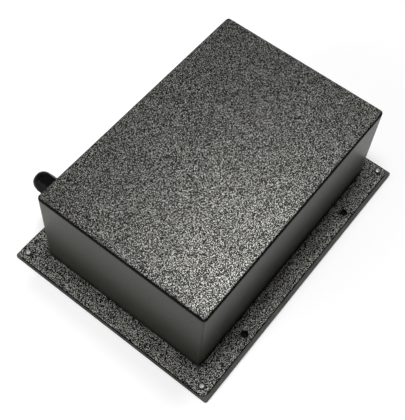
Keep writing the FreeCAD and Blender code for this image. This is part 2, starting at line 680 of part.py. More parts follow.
def hold_down_plate():
    """The sheet across both batteries, with two edges folded up to stiffen it."""
    body = new_body("hold_down_plate")
    section = sketch(body, "section", f"{CLAMP_X} - clamp_long / 2", "YZ_Plane")
    side, inner = "clamp_wide / 2", "(clamp_wide / 2 - clamp_sheet)"
    lip = f"{CLAMP_Z} + clamp_lip"
    polygon(section, [(f"-{side}", CLAMP_Z), (side, CLAMP_Z), (side, lip), (inner, lip),
                      (inner, CLAMP_TOP), (f"-{inner}", CLAMP_TOP), (f"-{inner}", lip),
                      (f"-{side}", lip)])
    pad(body, "channel", section, "clamp_long")
    level = number(CLAMP_Z)
    edge = number(side)
    fillet(body, "bends", "clamp_bend", lambda box: abs(box.ZMax - level) < 0.01
           and abs(abs(box.YMin) - edge) < 0.01 and box.YLength < 0.01)
    holes = sketch(body, "holes", CLAMP_Z)
    circles(holes, "stud_size / 2 + stud_room", STUD_PLACES)
    pocket(body, "hole_cut", holes, "clamp_sheet")
    return body


def hold_down_rubber():
    body = new_body("hold_down_rubber")
    profile = sketch(body, "strips", BATTERY_TOP)
    for side in (-1, 1):
        middle = f"({CLAMP_X} + {side} * (clamp_long - rubber_wide) / 2)"
        rectangle(profile, "rubber_wide", "(clamp_wide - 2 * rubber_inset)", middle)
    pad(body, "strip", profile, "rubber_rise")
    return body


def hold_down_washers():
    body = new_body("hold_down_washers")
    profile = sketch(body, "rings", CLAMP_TOP)
    circles(profile, "washer_size / 2", STUD_PLACES)
    circles(profile, "stud_size / 2 + fit_room", STUD_PLACES)
    pad(body, "ring", profile, "washer_rise")
    return body


def hold_down_nuts():
    body = new_body("hold_down_nuts")
    profile = sketch(body, "rings", NUT_Z)
    for x, y in STUD_PLACES:
        hexagon(profile, "nut_flats", x, y)
    circles(profile, "stud_size / 2 + fit_room", STUD_PLACES)
    pad(body, "nut", profile, "nut_rise")
    return body


POLES = [f"({BLOCK_Y} + {side} * {BLOCK_PITCH} / 2)" for side in (-1, 1)]
CHIMNEYS = [(f"{BLOCK_X} + {end} * chimney_pitch / 2", pole) for end in (-1, 1) for pole in POLES]


def terminal_block():
    """Two poles with a web between them, a wire bore through each and chimneys on top."""
    body = new_body("terminal_block")
    web = sketch(body, "web", PLATE_TOP)
    rectangle(web, "block_web_long", BLOCK_PITCH, BLOCK_X, BLOCK_Y)
    circles(web, "block_screw / 2 + fit_room", [(BLOCK_X, BLOCK_Y)])
    pad(body, "web_plate", web, "block_web_rise")
    cells = sketch(body, "cells", PLATE_TOP)
    for pole in POLES:
        rectangle(cells, "block_long", "block_cell", BLOCK_X, pole)
    pad(body, "cell", cells, "block_rise")
    tops = sketch(body, "chimneys", f"{PLATE_TOP} + block_rise")
    circles(tops, "chimney_size / 2", CHIMNEYS)
    pad(body, "chimney", tops, "chimney_rise")
    wells = sketch(body, "wells", POLE_Z)
    circles(wells, "clamp_screw / 2 + fit_room", CHIMNEYS)
    pocket(body, "well_cut", wells, "block_rise + chimney_rise")
    bores = sketch(body, "bores", f"{BLOCK_X} - block_long / 2", "YZ_Plane")
    circles(bores, "barrel_size / 2 + fit_room", [(pole, POLE_Z) for pole in POLES])
    pocket(body, "bore_cut", bores, "block_long")
    return body


def terminal_barrels():
    body = new_body("terminal_barrels")
    profile = sketch(body, "rings", f"{BLOCK_X} - barrel_long / 2", "YZ_Plane")
    circles(profile, "barrel_size / 2", [(pole, POLE_Z) for pole in POLES])
    circles(profile, "barrel_bore / 2", [(pole, POLE_Z) for pole in POLES])
    pad(body, "barrel", profile, "barrel_long")
    return body


def terminal_screws():
    """The four clamping screws down on the barrels."""
    body = new_body("terminal_screws")
    bottom = f"({POLE_Z} + barrel_size / 2)"
    profile = sketch(body, "discs", bottom)
    circles(profile, "clamp_screw / 2", CHIMNEYS)
    pad(body, "screw", profile, f"{PLATE_TOP} + block_rise + chimney_rise / 2 - {bottom}")
    return body


def block_fixing_screw():
    body = new_body("block_fixing_screw")
    place = [(BLOCK_X, BLOCK_Y)]
    seat = f"({PLATE_TOP} + block_web_rise)"
    shank = sketch(body, "shank_disc", "screw_short")
    circles(shank, "block_screw / 2", place)
    pad(body, "shank", shank, f"{seat} - screw_short")
    head = sketch(body, "head_disc", seat)
    circles(head, "block_screw_head / 2", place)
    pad(body, "head", head, "block_screw_rise")
    fillet(body, "head_round", "block_screw_rise / 2", at_level(f"{seat} + block_screw_rise"))
    return body


BLADES = [f"({FUSE_Y} + {side} * blade_pitch / 2)" for side in (-1, 1)]


def fuse_holder():
    body = new_body("fuse_holder")
    outline = sketch(body, "outline", PLATE_TOP)
    rounded(outline, HOLDER_WIDE, HOLDER_LONG, "holder_corner", FUSE_X, FUSE_Y)
    pad(body, "block", outline, "holder_rise")
    slots = sketch(body, "slots", f"{HOLDER_TOP} - blade_deep")
    for blade in BLADES:
        rectangle(slots, "(blade_thickness + 2 * fit_room)", "(blade_width + 2 * fit_room)",
                  FUSE_X, blade)
    pocket(body, "slot_cut", slots, "blade_deep")
    return body


def blade_fuse():
    body = new_body("blade_fuse")
    blades = sketch(body, "blades", f"{HOLDER_TOP} - blade_deep")
    for blade in BLADES:
        rectangle(blades, "blade_thickness", "blade_width", FUSE_X, blade)
    pad(body, "blade", blades, "blade_deep")
    head = sketch(body, "head_outline", HOLDER_TOP)
    rectangle(head, "fuse_head_wide", "fuse_head_long", FUSE_X, FUSE_Y)
    pad(body, "head", head, "fuse_head_rise")
    return body


def fuse_cap():
    """The cap over the fuse, open at the bottom."""
    body = new_body("fuse_cap")
    outline = sketch(body, "outline", HOLDER_TOP)
    rounded(outline, HOLDER_WIDE, HOLDER_LONG, "holder_corner", FUSE_X, FUSE_Y)
    pad(body, "block", outline, CAP_RISE)
    fillet(body, "cap_round", "cap_wall", at_level(f"{HOLDER_TOP} + {CAP_RISE}"))
    hollow = sketch(body, "hollow", HOLDER_TOP)
    rectangle(hollow, f"({HOLDER_WIDE} - 2 * cap_wall)", f"({HOLDER_LONG} - 2 * cap_wall)",
              FUSE_X, FUSE_Y)
    pocket(body, "hollow_cut", hollow, f"{CAP_RISE} - cap_wall")
    return body


def boot_x(face):
    """Middle of a receptacle boot on a battery whose lid faces this way."""
    return f"({face} - fit_room - {BOOT_LONG} / 2)"


# Every receptacle: which lid, which side, and whether its lead leaves upwards
RECEPTACLES = [(A_FACE, 1, True), (A_FACE, -1, True), (B_FACE, -1, True), (B_FACE, 1, False)]


def receptacle_boots():
    """Right-angled sleeves over the terminals, each with a barrel that its lead leaves."""
    body = new_body("receptacle_boots")
    low = f"({TERMINAL_Z} - {BOOT_TALL} / 2)"
    blocks = sketch(body, "blocks", low)
    for face, side, rises in RECEPTACLES:
        rectangle(blocks, BOOT_LONG, BOOT_THICK, boot_x(face), f"{side} * {TERMINAL_Y}")
    pad(body, "block", blocks, BOOT_TALL)
    upright = number(BOOT_TALL) - 0.01
    fillet(body, "soft_edges", f"{BOOT_THICK} / 6", lambda box: box.ZLength > upright)
    up = [(boot_x(face), f"{side} * {TERMINAL_Y}") for face, side, rises in RECEPTACLES if rises]
    down = [(boot_x(face), f"{side} * {TERMINAL_Y}") for face, side, rises in RECEPTACLES if not rises]
    risers = sketch(body, "risers", BOOT_TOP)
    circles(risers, "boot_barrel / 2", up)
    pad(body, "riser", risers, "boot_barrel_long")
    fallers = sketch(body, "fallers", f"{low} - boot_barrel_long")
    circles(fallers, "boot_barrel / 2", down)
    pad(body, "faller", fallers, "boot_barrel_long")
    clip_low = f"{TERMINAL_Z} - {CLIP_TALL} / 2 - fit_room"
    hollows = sketch(body, "hollows", clip_low)
    for face, side, rises in RECEPTACLES:
        middle = f"({face} - fit_room - clip_long / 2)"
        rectangle(hollows, "clip_long", f"({CLIP_THICK} + 2 * fit_room)", middle,
                  f"{side} * {TERMINAL_Y}")
    pocket(body, "hollow_cut", hollows, f"{CLIP_TALL} + 2 * fit_room")
    return body


def receptacle_clips():
    """The metal receptacles inside the boots, slotted for the battery's tabs."""
    body = new_body("receptacle_clips")
    blocks = sketch(body, "blocks", f"{TERMINAL_Z} - {CLIP_TALL} / 2")
    slots = sketch(body, "slots", f"{TERMINAL_Z} - tab_width / 2 - fit_room")
    for face, side, rises in RECEPTACLES:
        middle, place = f"({face} - fit_room - clip_long / 2)", f"{side} * {TERMINAL_Y}"
        rectangle(blocks, "clip_long", CLIP_THICK, middle, place)
        rectangle(slots, "clip_long", "(tab_thickness + 2 * fit_room)", middle, place)
    pad(body, "block", blocks, CLIP_TALL)
    pocket(body, "slot_cut", slots, "tab_width + 2 * fit_room")
    return body


def lead(label, points):
    """A lead along straight runs joined by tangent arcs, each as large as its runs allow.
    Its points are measured along X from the middle of the cover."""
    route = [Vector(number(BOX_X) + x, y, z) for x, y, z in points]
    edges = []
    radii = []
    start = route[0]
    for before, corner, after in zip(route, route[1:], route[2:]):
        inward = (corner - before).normalize()
        outward = (after - corner).normalize()
        turn = inward.getAngle(outward)
        setback = 0.45 * min((corner - before).Length, (after - corner).Length)
        entry = corner - inward * setback
        leave = corner + outward * setback
        radius = setback / math.tan(turn / 2)
        to_centre = (outward - inward).normalize()
        middle = corner + to_centre * (radius / math.cos(turn / 2) - radius)
        edges.append(Part.LineSegment(start, entry).toShape())
        edges.append(Part.Arc(entry, middle, leave).toShape())
        radii.append(radius)
        start = leave
    edges.append(Part.LineSegment(start, route[-1]).toShape())
    path = Part.Wire(edges)
    section = Part.Circle(route[0], (route[1] - route[0]).normalize(), number("lead_size") / 2)
    tube = path.makePipeShell([Part.Wire([section.toShape()])], True, False)
    expected = math.pi * number("lead_size") ** 2 / 4 * path.Length
    if abs(tube.Volume / expected - 1) > 0.01:
        raise RuntimeError(f"{label}: its volume does not match its length")
    print(f"{label}: {path.Length:.0f} mm long, tightest radius {min(radii):.1f} mm")
    item = doc.addObject("Part::Feature", label)
    item.Label = label
    item.Shape = tube
    return item


def between(start, end, share):
    """A place that lies a share of the way from one to another."""
    return start + share * (end - start)


def leads():
    """The four leads. Their ends are worked out from what they meet. The points between them are
    chosen by hand, as shares of the way between two pieces or as distances from what they pass."""
    a_x, b_x = number(f"{boot_x(A_FACE)} - {BOX_X}"), number(f"{boot_x(B_FACE)} - {BOX_X}")
    side, out = number(TERMINAL_Y), number(f"{BOOT_TOP} + boot_barrel_long")
    rise = out + number("lead_rise")
    top, wall_y = number(BATTERY_TOP), number(INNER_SIDE)
    end_x = number(f"{INNER_END} - {BOX_X}")
    over_a = [(a_x, side, out), (a_x, side, rise)]

    # From battery A over both batteries to battery B: share along X, share of the side, over the top
    link_route = [
        (0.053, 0.995, 11.1), (0.138, 0.982, 11), (0.251, 0.957, 5.6), (0.374, 0.896, 1.9),
        (0.515, 0.76, 1.5), (0.628, 0.512, 1.6), (0.694, 0.176, 1.5), (0.732, -0.192, 1.6),
        (0.751, -0.528, 2.2), (0.793, -0.776, 7.4), (0.869, -0.933, 11.4), (0.947, -0.984, 11.2)]
    link = lead("link_lead", over_a + [
        (between(a_x, b_x, share), part * side, top + over) for share, part, over in link_route
    ] + [(b_x, -side, rise), (b_x, -side, out)])

    # Along the -Y wall over battery B: share along X, from the wall, over the top
    fuse_x, fuse_z = number(f"{FUSE_X} - {BOX_X}"), number("plate_thickness + holder_rise / 2")
    fuse_start = number(f"{FUSE_Y} - {HOLDER_LONG} / 2")
    fuse_end = number(f"{FUSE_Y} + {HOLDER_LONG} / 2")
    wall_route = [
        (0.053, 14.6, 11.1), (0.138, 13.5, 11), (0.251, 11.1, 5.8), (0.383, 8.5, 2),
        (0.562, 6.9, 1.5), (0.751, 6.5, 1.8), (0.911, 6.3, 3)]
    # Down beside battery B to the fuse: share along X, from the wall, share of the way down
    drop_route = [
        (0.184, 6.5, 0.008), (0.515, 7.1, 0.192), (0.566, 8.5, 0.416), (0.719, 5.5, 0.608),
        (0.898, 3.9, 0.784), (1, 6.2, 0.92), (1, 12.1, 1)]
    positive = lead("positive_lead", [(a_x, -side, out), (a_x, -side, rise)] + [
        (between(a_x, b_x, share), gap - wall_y, top + over) for share, gap, over in wall_route
    ] + [
        (between(b_x, fuse_x, share), gap - wall_y, between(top, fuse_z, down))
        for share, gap, down in drop_route
    ] + [(fuse_x, fuse_start, fuse_z)])

    # Along the end wall from the fuse to the block: from the wall, share along Y, over the plate
    pole_x, pole_z = number(f"{BLOCK_X} + barrel_long / 2 - {BOX_X}"), number(POLE_Z)
    near_pole, far_pole = number(POLES[0]), number(POLES[1])
    plate = number(PLATE_TOP)
    end_route = [
        (10.5, 0.302, 4.8), (16.5, 0.488, 4.6), (23, 0.651, 4.8), (27.9, 0.814, 5),
        (28.6, 0.934, 5), (23.6, 0.998, 5)]
    fused = lead("fused_lead", [(fuse_x, fuse_end, fuse_z), (fuse_x, fuse_end + 10, fuse_z)] + [
        (end_x + gap, between(fuse_end, near_pole, share), plate + over)
        for gap, share, over in end_route
    ] + [(pole_x, near_pole, pole_z)])

    # Down from battery B to the block
    below = number(f"{TERMINAL_Z} - {BOOT_TALL} / 2 - boot_barrel_long")
    negative = lead("negative_lead", [
        (b_x, side, below), (b_x, side, between(below, pole_z, 0.26)),
        (end_x + 28.8, between(side, far_pole, 0.55), between(below, pole_z, 0.555)),
        (end_x + 29, far_pole, between(below, pole_z, 0.864)),
        (end_x + 23.7, far_pole, pole_z + 0.1), (pole_x, far_pole, pole_z)])
    return [link, positive, fused, negative]


parts = [
    back_plate(), flange_frame(), housing_pan(), foot_weld(), corner_screws(),
    gland_body(), gland_washer(), gland_locknut(), gland_seal(), gland_nut(),
]
for letter, face in (("a", A_FACE), ("b", B_FACE)):
    parts += [battery_case(letter, face), battery_lid(letter, face),
              battery_vent_cover(letter, face), battery_terminals(letter, face)]
parts += [
    base_pads(), battery_stop(), hold_down_studs(), hold_down_plate(), hold_down_rubber(),
    hold_down_washers(), hold_down_nuts(), terminal_block(), terminal_barrels(),
    terminal_screws(), block_fixing_screw(), fuse_holder(), blade_fuse(), fuse_cap(),
    receptacle_boots(), receptacle_clips(),
]
parts += leads()

doc.recompute()
for item in doc.Objects:
    if "Invalid" in item.State or "Error" in item.State:
        raise RuntimeError(f"{item.Label} failed")
for item in parts:
    if item.Shape.isNull() or not item.Shape.isValid():
        raise RuntimeError(f"{item.Label} has no valid shape")

os.makedirs("parts", exist_ok=True)
for item in parts:
    item.Shape.exportStep(f"parts/{item.Label}.step")
print(f"{len(parts)} sub-parts written")
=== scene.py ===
"""Finishes and fine detail of a flanged battery box for a barrier gate.

Metres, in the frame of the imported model: +X along the box, +Y towards the wall with the cable
gland, +Z out of the flange, and z = 0 on the surface that the back plate lies on.
"""

import json
import math

import bmesh
import bpy
import numpy as np
from bpy.props import FloatProperty, FloatVectorProperty, PointerProperty
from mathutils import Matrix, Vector

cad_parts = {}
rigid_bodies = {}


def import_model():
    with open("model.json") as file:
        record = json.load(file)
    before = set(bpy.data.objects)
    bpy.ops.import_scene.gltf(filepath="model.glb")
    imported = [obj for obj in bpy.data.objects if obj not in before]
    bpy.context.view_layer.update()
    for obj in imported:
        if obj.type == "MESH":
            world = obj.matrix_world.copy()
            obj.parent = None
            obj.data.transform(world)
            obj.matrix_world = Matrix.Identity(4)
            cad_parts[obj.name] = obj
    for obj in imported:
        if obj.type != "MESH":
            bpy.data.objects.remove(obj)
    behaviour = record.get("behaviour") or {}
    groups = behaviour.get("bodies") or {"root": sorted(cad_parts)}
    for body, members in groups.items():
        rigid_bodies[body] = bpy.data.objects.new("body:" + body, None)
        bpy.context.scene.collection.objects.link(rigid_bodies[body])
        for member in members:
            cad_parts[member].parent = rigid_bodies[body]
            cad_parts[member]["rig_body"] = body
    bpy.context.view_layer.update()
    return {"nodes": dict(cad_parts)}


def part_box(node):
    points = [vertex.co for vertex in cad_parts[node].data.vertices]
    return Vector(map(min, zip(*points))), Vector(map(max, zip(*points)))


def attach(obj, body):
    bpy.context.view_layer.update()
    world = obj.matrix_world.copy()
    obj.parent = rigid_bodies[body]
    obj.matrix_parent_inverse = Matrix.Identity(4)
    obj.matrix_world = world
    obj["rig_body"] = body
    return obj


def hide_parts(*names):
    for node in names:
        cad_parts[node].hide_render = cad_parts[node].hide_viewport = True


bl_info = {
    "name": "Battery box finishes",
    "version": (1, 0, 0),
    "blender": (4, 5, 0),
    "location": "View3D > Sidebar > Battery box",
    "description": "Hammertone paint, screws, cable gland, batteries and wiring of a battery box",
    "category": "Add Mesh",
}

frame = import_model()

MM = 0.001
MICRON = 1e-6
SAME_POINT = 1e-7
NO_LENGTH = 1e-8
COPLANAR = math.radians(0.2)
EDGE_ANGLE = math.radians(30)
SOLID_CORNER = 3.3 * MM
GLAND_FLATS = 16 * MM
NOISE_BULK = (0.3, 0.7)
FLANGE_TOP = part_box("flange_frame")[1].z


class PaintSettings(bpy.types.PropertyGroup):
    """Hammertone powder coat."""

    ground: FloatVectorProperty(
        name="Ground", description="Colour of the hollows of the hammertone", subtype="COLOR",
        default=(0.003, 0.003, 0.0029))
    vein: FloatVectorProperty(
        name="Vein", description="Colour of the raised veins of the hammertone", subtype="COLOR",
        default=(0.49, 0.49, 0.455))
    wall: FloatVectorProperty(
        name="Wall", description="Colour of upright walls, where the veins hardly show",
        subtype="COLOR", default=(0.022, 0.022, 0.0151))
    plate: FloatVectorProperty(
        name="Plate", description="Colour of the back plate and the weld, which have no veins",
        subtype="COLOR", default=(0.085, 0.085, 0.082))
    flake: FloatProperty(
        name="Flake", description="Share of silvery flakes in the veins", default=0.9,
        subtype="FACTOR")
    flange_flake: FloatProperty(
        name="Flange flake", description="Share of silvery flakes in the veins of the flange",
        default=0.05, subtype="FACTOR")
    vein_pitch: FloatProperty(
        name="Vein pitch", description="Distance from one vein to the next", default=0.62 * MM,
        subtype="DISTANCE", unit="LENGTH")
    vein_rise: FloatProperty(
        name="Vein rise", description="Height of a vein over its ground", default=0.02 * MM,
        subtype="DISTANCE", unit="LENGTH")
    # Colour of the painted shade along the top edges and on the upright faces of the flange, the back
    # plate and the weld.
    rim: FloatVectorProperty(
        name="Rim", description="Colour of the thin coat along the top edges", subtype="COLOR",
        default=(0.0015, 0.0015, 0.0015))
    # Width of the painted shade on each side of a top edge.
    painted_shade_width: FloatProperty(
        name="Rim width", description="Width of the thin coat on each side of a top edge",
        default=1.7 * MM, subtype="DISTANCE", unit="LENGTH")
    # Width of the painted shade along the flange's edges.
    flange_painted_shade_width: FloatProperty(
        name="Flange rim width", description="Width of the thin coat along the flange's edges",
        default=1.1 * MM, subtype="DISTANCE", unit="LENGTH")
    corner_round: FloatProperty(
        name="Corner rounding", description="Radius of the upright corners of the cover",
        default=2.4 * MM, subtype="DISTANCE", unit="LENGTH")
    edge_round: FloatProperty(
        name="Edge rounding", description="Rounding that the paint gives to sheet edges",
        default=0.35 * MM, subtype="DISTANCE", unit="LENGTH")


class ScrewSettings(bpy.types.PropertyGroup):
    """Pan-head screws with a cross recess."""

    recess_long: FloatProperty(
        name="Recess length", description="Length of the cross recess, as a share of the head",
        default=0.56, subtype="FACTOR")
    recess_wide: FloatProperty(
        name="Recess width", description="Width of a wing of the recess, as a share of the head",
        default=0.15, subtype="FACTOR")
    recess_deep: FloatProperty(
        name="Recess depth", description="Depth of the recess, as a share of the head's height",
        default=0.6, subtype="FACTOR")
    thread_pitch: FloatProperty(
        name="Thread pitch", description="Pitch of the corner screws", default=0.5 * MM,
        subtype="DISTANCE", unit="LENGTH")


class GlandSettings(bpy.types.PropertyGroup):
    """Moulded nylon cable gland."""

    thread_pitch: FloatProperty(
        name="Thread pitch", description="Pitch of the gland's threads", default=1.5 * MM,
        subtype="DISTANCE", unit="LENGTH")
    thread_depth: FloatProperty(
        name="Thread depth", description="Depth of the gland's threads", default=0.5 * MM,
        subtype="DISTANCE", unit="LENGTH")
    ball: FloatProperty(
        name="Ball", description="Radius of the round front of the dome nut", default=8.1 * MM,
        subtype="DISTANCE", unit="LENGTH")
    ball_front: FloatProperty(
        name="Ball front", description="From the ball's middle to the flat ring round the mouth",
        default=5.9 * MM, subtype="DISTANCE", unit="LENGTH")


class StudSettings(bpy.types.PropertyGroup):
    """Threads of the hold-down's studs."""

    thread_pitch: FloatProperty(
        name="Thread pitch", description="Pitch of the studs", default=0.8 * MM,
        subtype="DISTANCE", unit="LENGTH")
    thread_long: FloatProperty(
        name="Thread length", description="Threaded length at the top of a stud",
        default=24 * MM, subtype="DISTANCE", unit="LENGTH")


class StageSettings(bpy.types.PropertyGroup):
    """Camera, lamps and floor."""

    eye: FloatVectorProperty(
        name="Eye", description="Place of the camera", subtype="TRANSLATION", unit="LENGTH",
        default=(-0.31362, -0.19778, 0.6228))
    turn: FloatVectorProperty(
        name="Turn", description="Angles of the camera", subtype="EULER", unit="ROTATION",
        default=tuple(math.radians(angle) for angle in (30.7995, -2.7988, -52.0861)))
    lens: FloatProperty(
        name="Lens", description="Focal length for a 36 mm sensor, in millimetres", default=72.124)
    key_level: FloatProperty(
        name="Key lamp", description="Level of a white surface that faces the key lamp", default=0.73)
    top_level: FloatProperty(
        name="Top lamp", description="Level of a white surface that faces the top lamp", default=0.29)
    side_level: FloatProperty(
        name="Side lamp", description="Level of a white surface that faces the side lamp",
        default=0.3)
    sky: FloatProperty(
        name="Surround", description="Light from the room all round", default=0.06)
    ceiling: FloatProperty(
        name="Ceiling", description="Level of the ceiling where it is reflected",
        default=0.07)
    floor: FloatVectorProperty(
        name="Floor", description="Colour of the floor", subtype="COLOR",
        default=(0.88, 0.88, 0.88))


SETTINGS = {
    "battery_box_paint": PaintSettings,
    "battery_box_screws": ScrewSettings,
    "battery_box_gland": GlandSettings,
    "battery_box_studs": StudSettings,
    "battery_box_stage": StageSettings,
}


# Meshes

def grid_faces(rows, columns, loop=False):
    """Quads of a grid whose columns close on themselves, and its rows too if it is a loop. The
    quad at row i and column j joins the points (i, j), (i, j+1), (i+1, j+1) and (i+1, j)."""
    row = np.arange(rows if loop else rows - 1)
    column = np.arange(columns)
    i, j = np.meshgrid(row, column, indexing="ij")
    below, after = (i + 1) % rows, (j + 1) % columns
    corners = [i * columns + j, i * columns + after, below * columns + after, below * columns + j]
    return np.stack(corners, axis=-1).reshape(-1, 4)


def combine(pieces):
    """One point array and one face array from several pairs of them."""
    points, faces, offset = [], [], 0
    for some_points, some_faces in pieces:
        points.append(some_points)
        faces.append(some_faces + offset)
        offset += len(some_points)
    return np.concatenate(points), np.concatenate(faces)


def mesh_points(mesh):
    """The places of a mesh's points, a row for each."""
    points = np.empty(len(mesh.vertices) * 3)
    mesh.vertices.foreach_get("co", points)
    return points.reshape(-1, 3)


def stand_in(node, name, points, faces, finish, smooth=35.0):
    """A piece with this mesh that replaces a node, rides on the node's body and wears a finish. Its
    doubles are merged, its faces all point outwards, and it is smooth where it bends by less than an
    angle in degrees."""
    mesh = bpy.data.meshes.new(name)
    mesh.from_pydata(points, [], faces)
    work = bmesh.new()
    work.from_mesh(mesh)
    bmesh.ops.remove_doubles(work, verts=work.verts, dist=SAME_POINT)
    bmesh.ops.dissolve_degenerate(work, edges=work.edges, dist=NO_LENGTH)
    bmesh.ops.recalc_face_normals(work, faces=work.faces)
    work.to_mesh(mesh)
    work.free()
    mesh.shade_smooth()
    mesh.set_sharp_from_angle(angle=math.radians(smooth))
    mesh.materials.append(finish)
    made = bpy.data.objects.new(name, mesh)
    bpy.context.scene.collection.objects.link(made)
    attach(made, frame["nodes"][node]["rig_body"])
    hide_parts(node)
    return made


def solid_mesh(node):
    """Points and triangles of a node with equal points made one: each point is keyed by its place
    in thousandths of a millimetre."""
    source = frame["nodes"][node].data
    points = mesh_points(source)
    source.calc_loop_triangles()
    triangles = np.empty(len(source.loop_triangles) * 3, dtype=int)
    source.loop_triangles.foreach_get("vertices", triangles)
    keys = np.round(points, decimals=6)
    _, first, inverse = np.unique(keys, axis=0, return_index=True, return_inverse=True)
    triangles = inverse.ravel()[triangles].reshape(-1, 3)
    a, b, c = triangles.T
    return points[first], triangles[(a != b) & (b != c) & (c != a)]


def solid_boxes(node):
    """Lowest and highest corners of each separate solid of a node, from its welded triangles:
    every point takes the lowest label of the triangles that it is in, until none changes."""
    points, triangles = solid_mesh(node)
    label = np.arange(len(points))
    while True:
        lowest = label[triangles].min(axis=1)
        fresh = label.copy()
        for corner in range(3):
            np.minimum.at(fresh, triangles[:, corner], lowest)
        if (fresh == label).all():
            break
        label = fresh
    groups = [points[label == value] for value in np.unique(label)]
    return [(group.min(axis=0), group.max(axis=0)) for group in groups]


def dress(node, name, finish, edge=0.0, smooth=30.0):
    """Stand a welded piece in for a node: its coplanar triangles are joined into flat faces, and
    the edges between faces that meet at more than 30 degrees are rounded by a bevel. Large faces
    keep their own normals beside the rounded edges, so that they look flat."""
    points, triangles = solid_mesh(node)
    made = stand_in(node, name, points, triangles, finish, smooth)
    work = bmesh.new()
    work.from_mesh(made.data)
    bmesh.ops.dissolve_limit(
        work, angle_limit=COPLANAR, use_dissolve_boundaries=False, verts=work.verts,
        edges=work.edges)
    work.to_mesh(made.data)
    work.free()
    made.data.set_sharp_from_angle(angle=math.radians(smooth))
    if edge:
        bevel = made.modifiers.new("edges", "BEVEL")
        bevel.width = edge
        bevel.segments = 2
        bevel.limit_method = "ANGLE"
        bevel.angle_limit = EDGE_ANGLE
        bevel.use_clamp_overlap = True
        bevel.harden_normals = True
        flat = made.modifiers.new("flat_faces", "WEIGHTED_NORMAL")
        flat.keep_sharp = True
    return made


def tighten_corners(mesh, low, high, wide, tight):
    """Make the upright corners of a folded box sharper. A point at depth d under a corner's round
    of radius R, at angle a about its centre, goes to depth d under a round of radius r: its place
    from the corner of the box is then r - (r - d) cos a along x, and the same with sin a along y."""
    points = mesh_points(mesh)
    low, high = np.array(low)[:2], np.array(high)[:2]
    middle, half = (low + high) / 2, (high - low) / 2
    off = points[:, :2] - middle
    inward = np.abs(off) - (half - wide)
    near = (inward > -MICRON).all(axis=1)
    depth = wide - np.linalg.norm(inward, axis=1)
    angle = np.arctan2(inward[:, 1], inward[:, 0])
    outwards = np.stack([np.cos(angle), np.sin(angle)], axis=-1)
    reach = np.maximum(tight - depth, 0.0)[:, None] * outwards
    sharper = middle + np.sign(off) * (half - tight + reach)
    points[near, :2] = sharper[near]
    mesh.vertices.foreach_set("co", points.ravel())
    mesh.update()


def turned(rows, columns):
    """A closed turned shape about +Z. A row is (radius, height); either may be a function of the
    angle, given as an array. The point at angle a is (radius cos a, radius sin a, height)."""
    angle = np.arange(columns) * 2 * math.pi / columns

    def spread(value):
        return np.broadcast_to(value(angle) if callable(value) else value, columns)

    radius = np.array([spread(row[0]) for row in rows])
    height = np.array([spread(row[1]) for row in rows])
    points = np.stack([radius * np.cos(angle), radius * np.sin(angle), height], axis=-1)
    return points.reshape(-1, 3), grid_faces(len(rows), columns, loop=True)


def hexagon_radius(flats, rounding):
    """Radius of a hexagon at an angle: half the flats over the cosine of the angle from the
    nearest flat's middle, limited to a rounding short of the corner."""
    def radius(angle):
        off = np.mod(angle, math.pi / 3) - math.pi / 6
        return np.minimum(flats / 2 / np.cos(off), flats / math.sqrt(3) - rounding)
    return radius


def chamfered_rows(side, end, slope, bottom, top, heights):
    """Rows of a prism with chamfered ends: the smaller of its side's radius and a cone's, which is
    the end's radius at the nearer end and grows by the slope from there."""
    def radius(height):
        room = min(height - bottom, top - height)
        return lambda angle: np.minimum(side(angle), end + slope * room)
    return [(radius(height), height) for height in heights]


def thread_radius(crest, depth, pitch, height):
    """Radius of a thread at a height: the crest less the depth times a triangle wave of
    height / pitch - angle / (2 pi)."""
    def radius(angle):
        phase = np.mod(height / pitch - angle / (2 * math.pi), 1.0)
        return crest - depth * np.abs(2 * phase - 1)
    return radius


def thread_rows(crest, depth, pitch, bottom, top, per_turn=6):
    """Rows of a thread from one height to another. Its depth fades out over a pitch at the ends."""
    count = max(2, int(round((top - bottom) / pitch * per_turn)) + 1)
    rows = []
    for height in np.linspace(bottom, top, count):
        fade = min(1.0, (height - bottom) / pitch, (top - height) / pitch)
        rows.append((thread_radius(crest, depth * fade, pitch, height), height))
    return rows


def moved(pair, place, upright=True):
    """A shape moved to a place. If it isn't upright, its +Z is first turned to +Y, which takes
    (x, y, z) to (x, z, -y)."""
    points, faces = pair
    if not upright:
        points = np.stack([points[:, 0], points[:, 2], -points[:, 1]], axis=-1)
    return points + np.array(place), faces


def smooth_step(value, edge, soft):
    """1 where a value is less than an edge from zero and 0 beyond it, with s^2 (3 - 2 s) over a
    soft width between them."""
    share = np.clip((edge - np.abs(value)) / soft + 0.5, 0, 1)
    return share * share * (3 - 2 * share)


# Materials

def add(tree, kind, inputs=None, **settings):
    """Add a shader node, set its properties, and set or link its inputs."""
    made = tree.nodes.new(kind)
    for key, value in settings.items():
        setattr(made, key, value)
    for key, value in (inputs or {}).items():
        if isinstance(value, bpy.types.NodeSocket):
            tree.links.new(value, made.inputs[key])
        else:
            made.inputs[key].default_value = value
    return made


def maths(tree, operation, first, second=0.0, third=0.0, clamp=False):
    """A Math node's result."""
    made = add(tree, "ShaderNodeMath", {0: first, 1: second, 2: third}, operation=operation)
    made.use_clamp = clamp
    return made.outputs[0]


def ramp(tree, value, low=0.0, high=1.0, start=0.0, end=1.0):
    """A smooth step from a start to an end, while a value goes from low to high."""
    made = add(tree, "ShaderNodeMapRange", {
        "Value": value, "From Min": low, "From Max": high, "To Min": start, "To Max": end,
    }, interpolation_type="SMOOTHSTEP")
    return made.outputs["Result"]


def noise(tree, place, pitch, detail=2.0, roughness=0.5):
    """Noise whose lumps lie about a pitch apart."""
    made = add(tree, "ShaderNodeTexNoise", {
        "Vector": place, "Scale": 1 / pitch, "Detail": detail, "Roughness": roughness})
    return made.outputs[0]


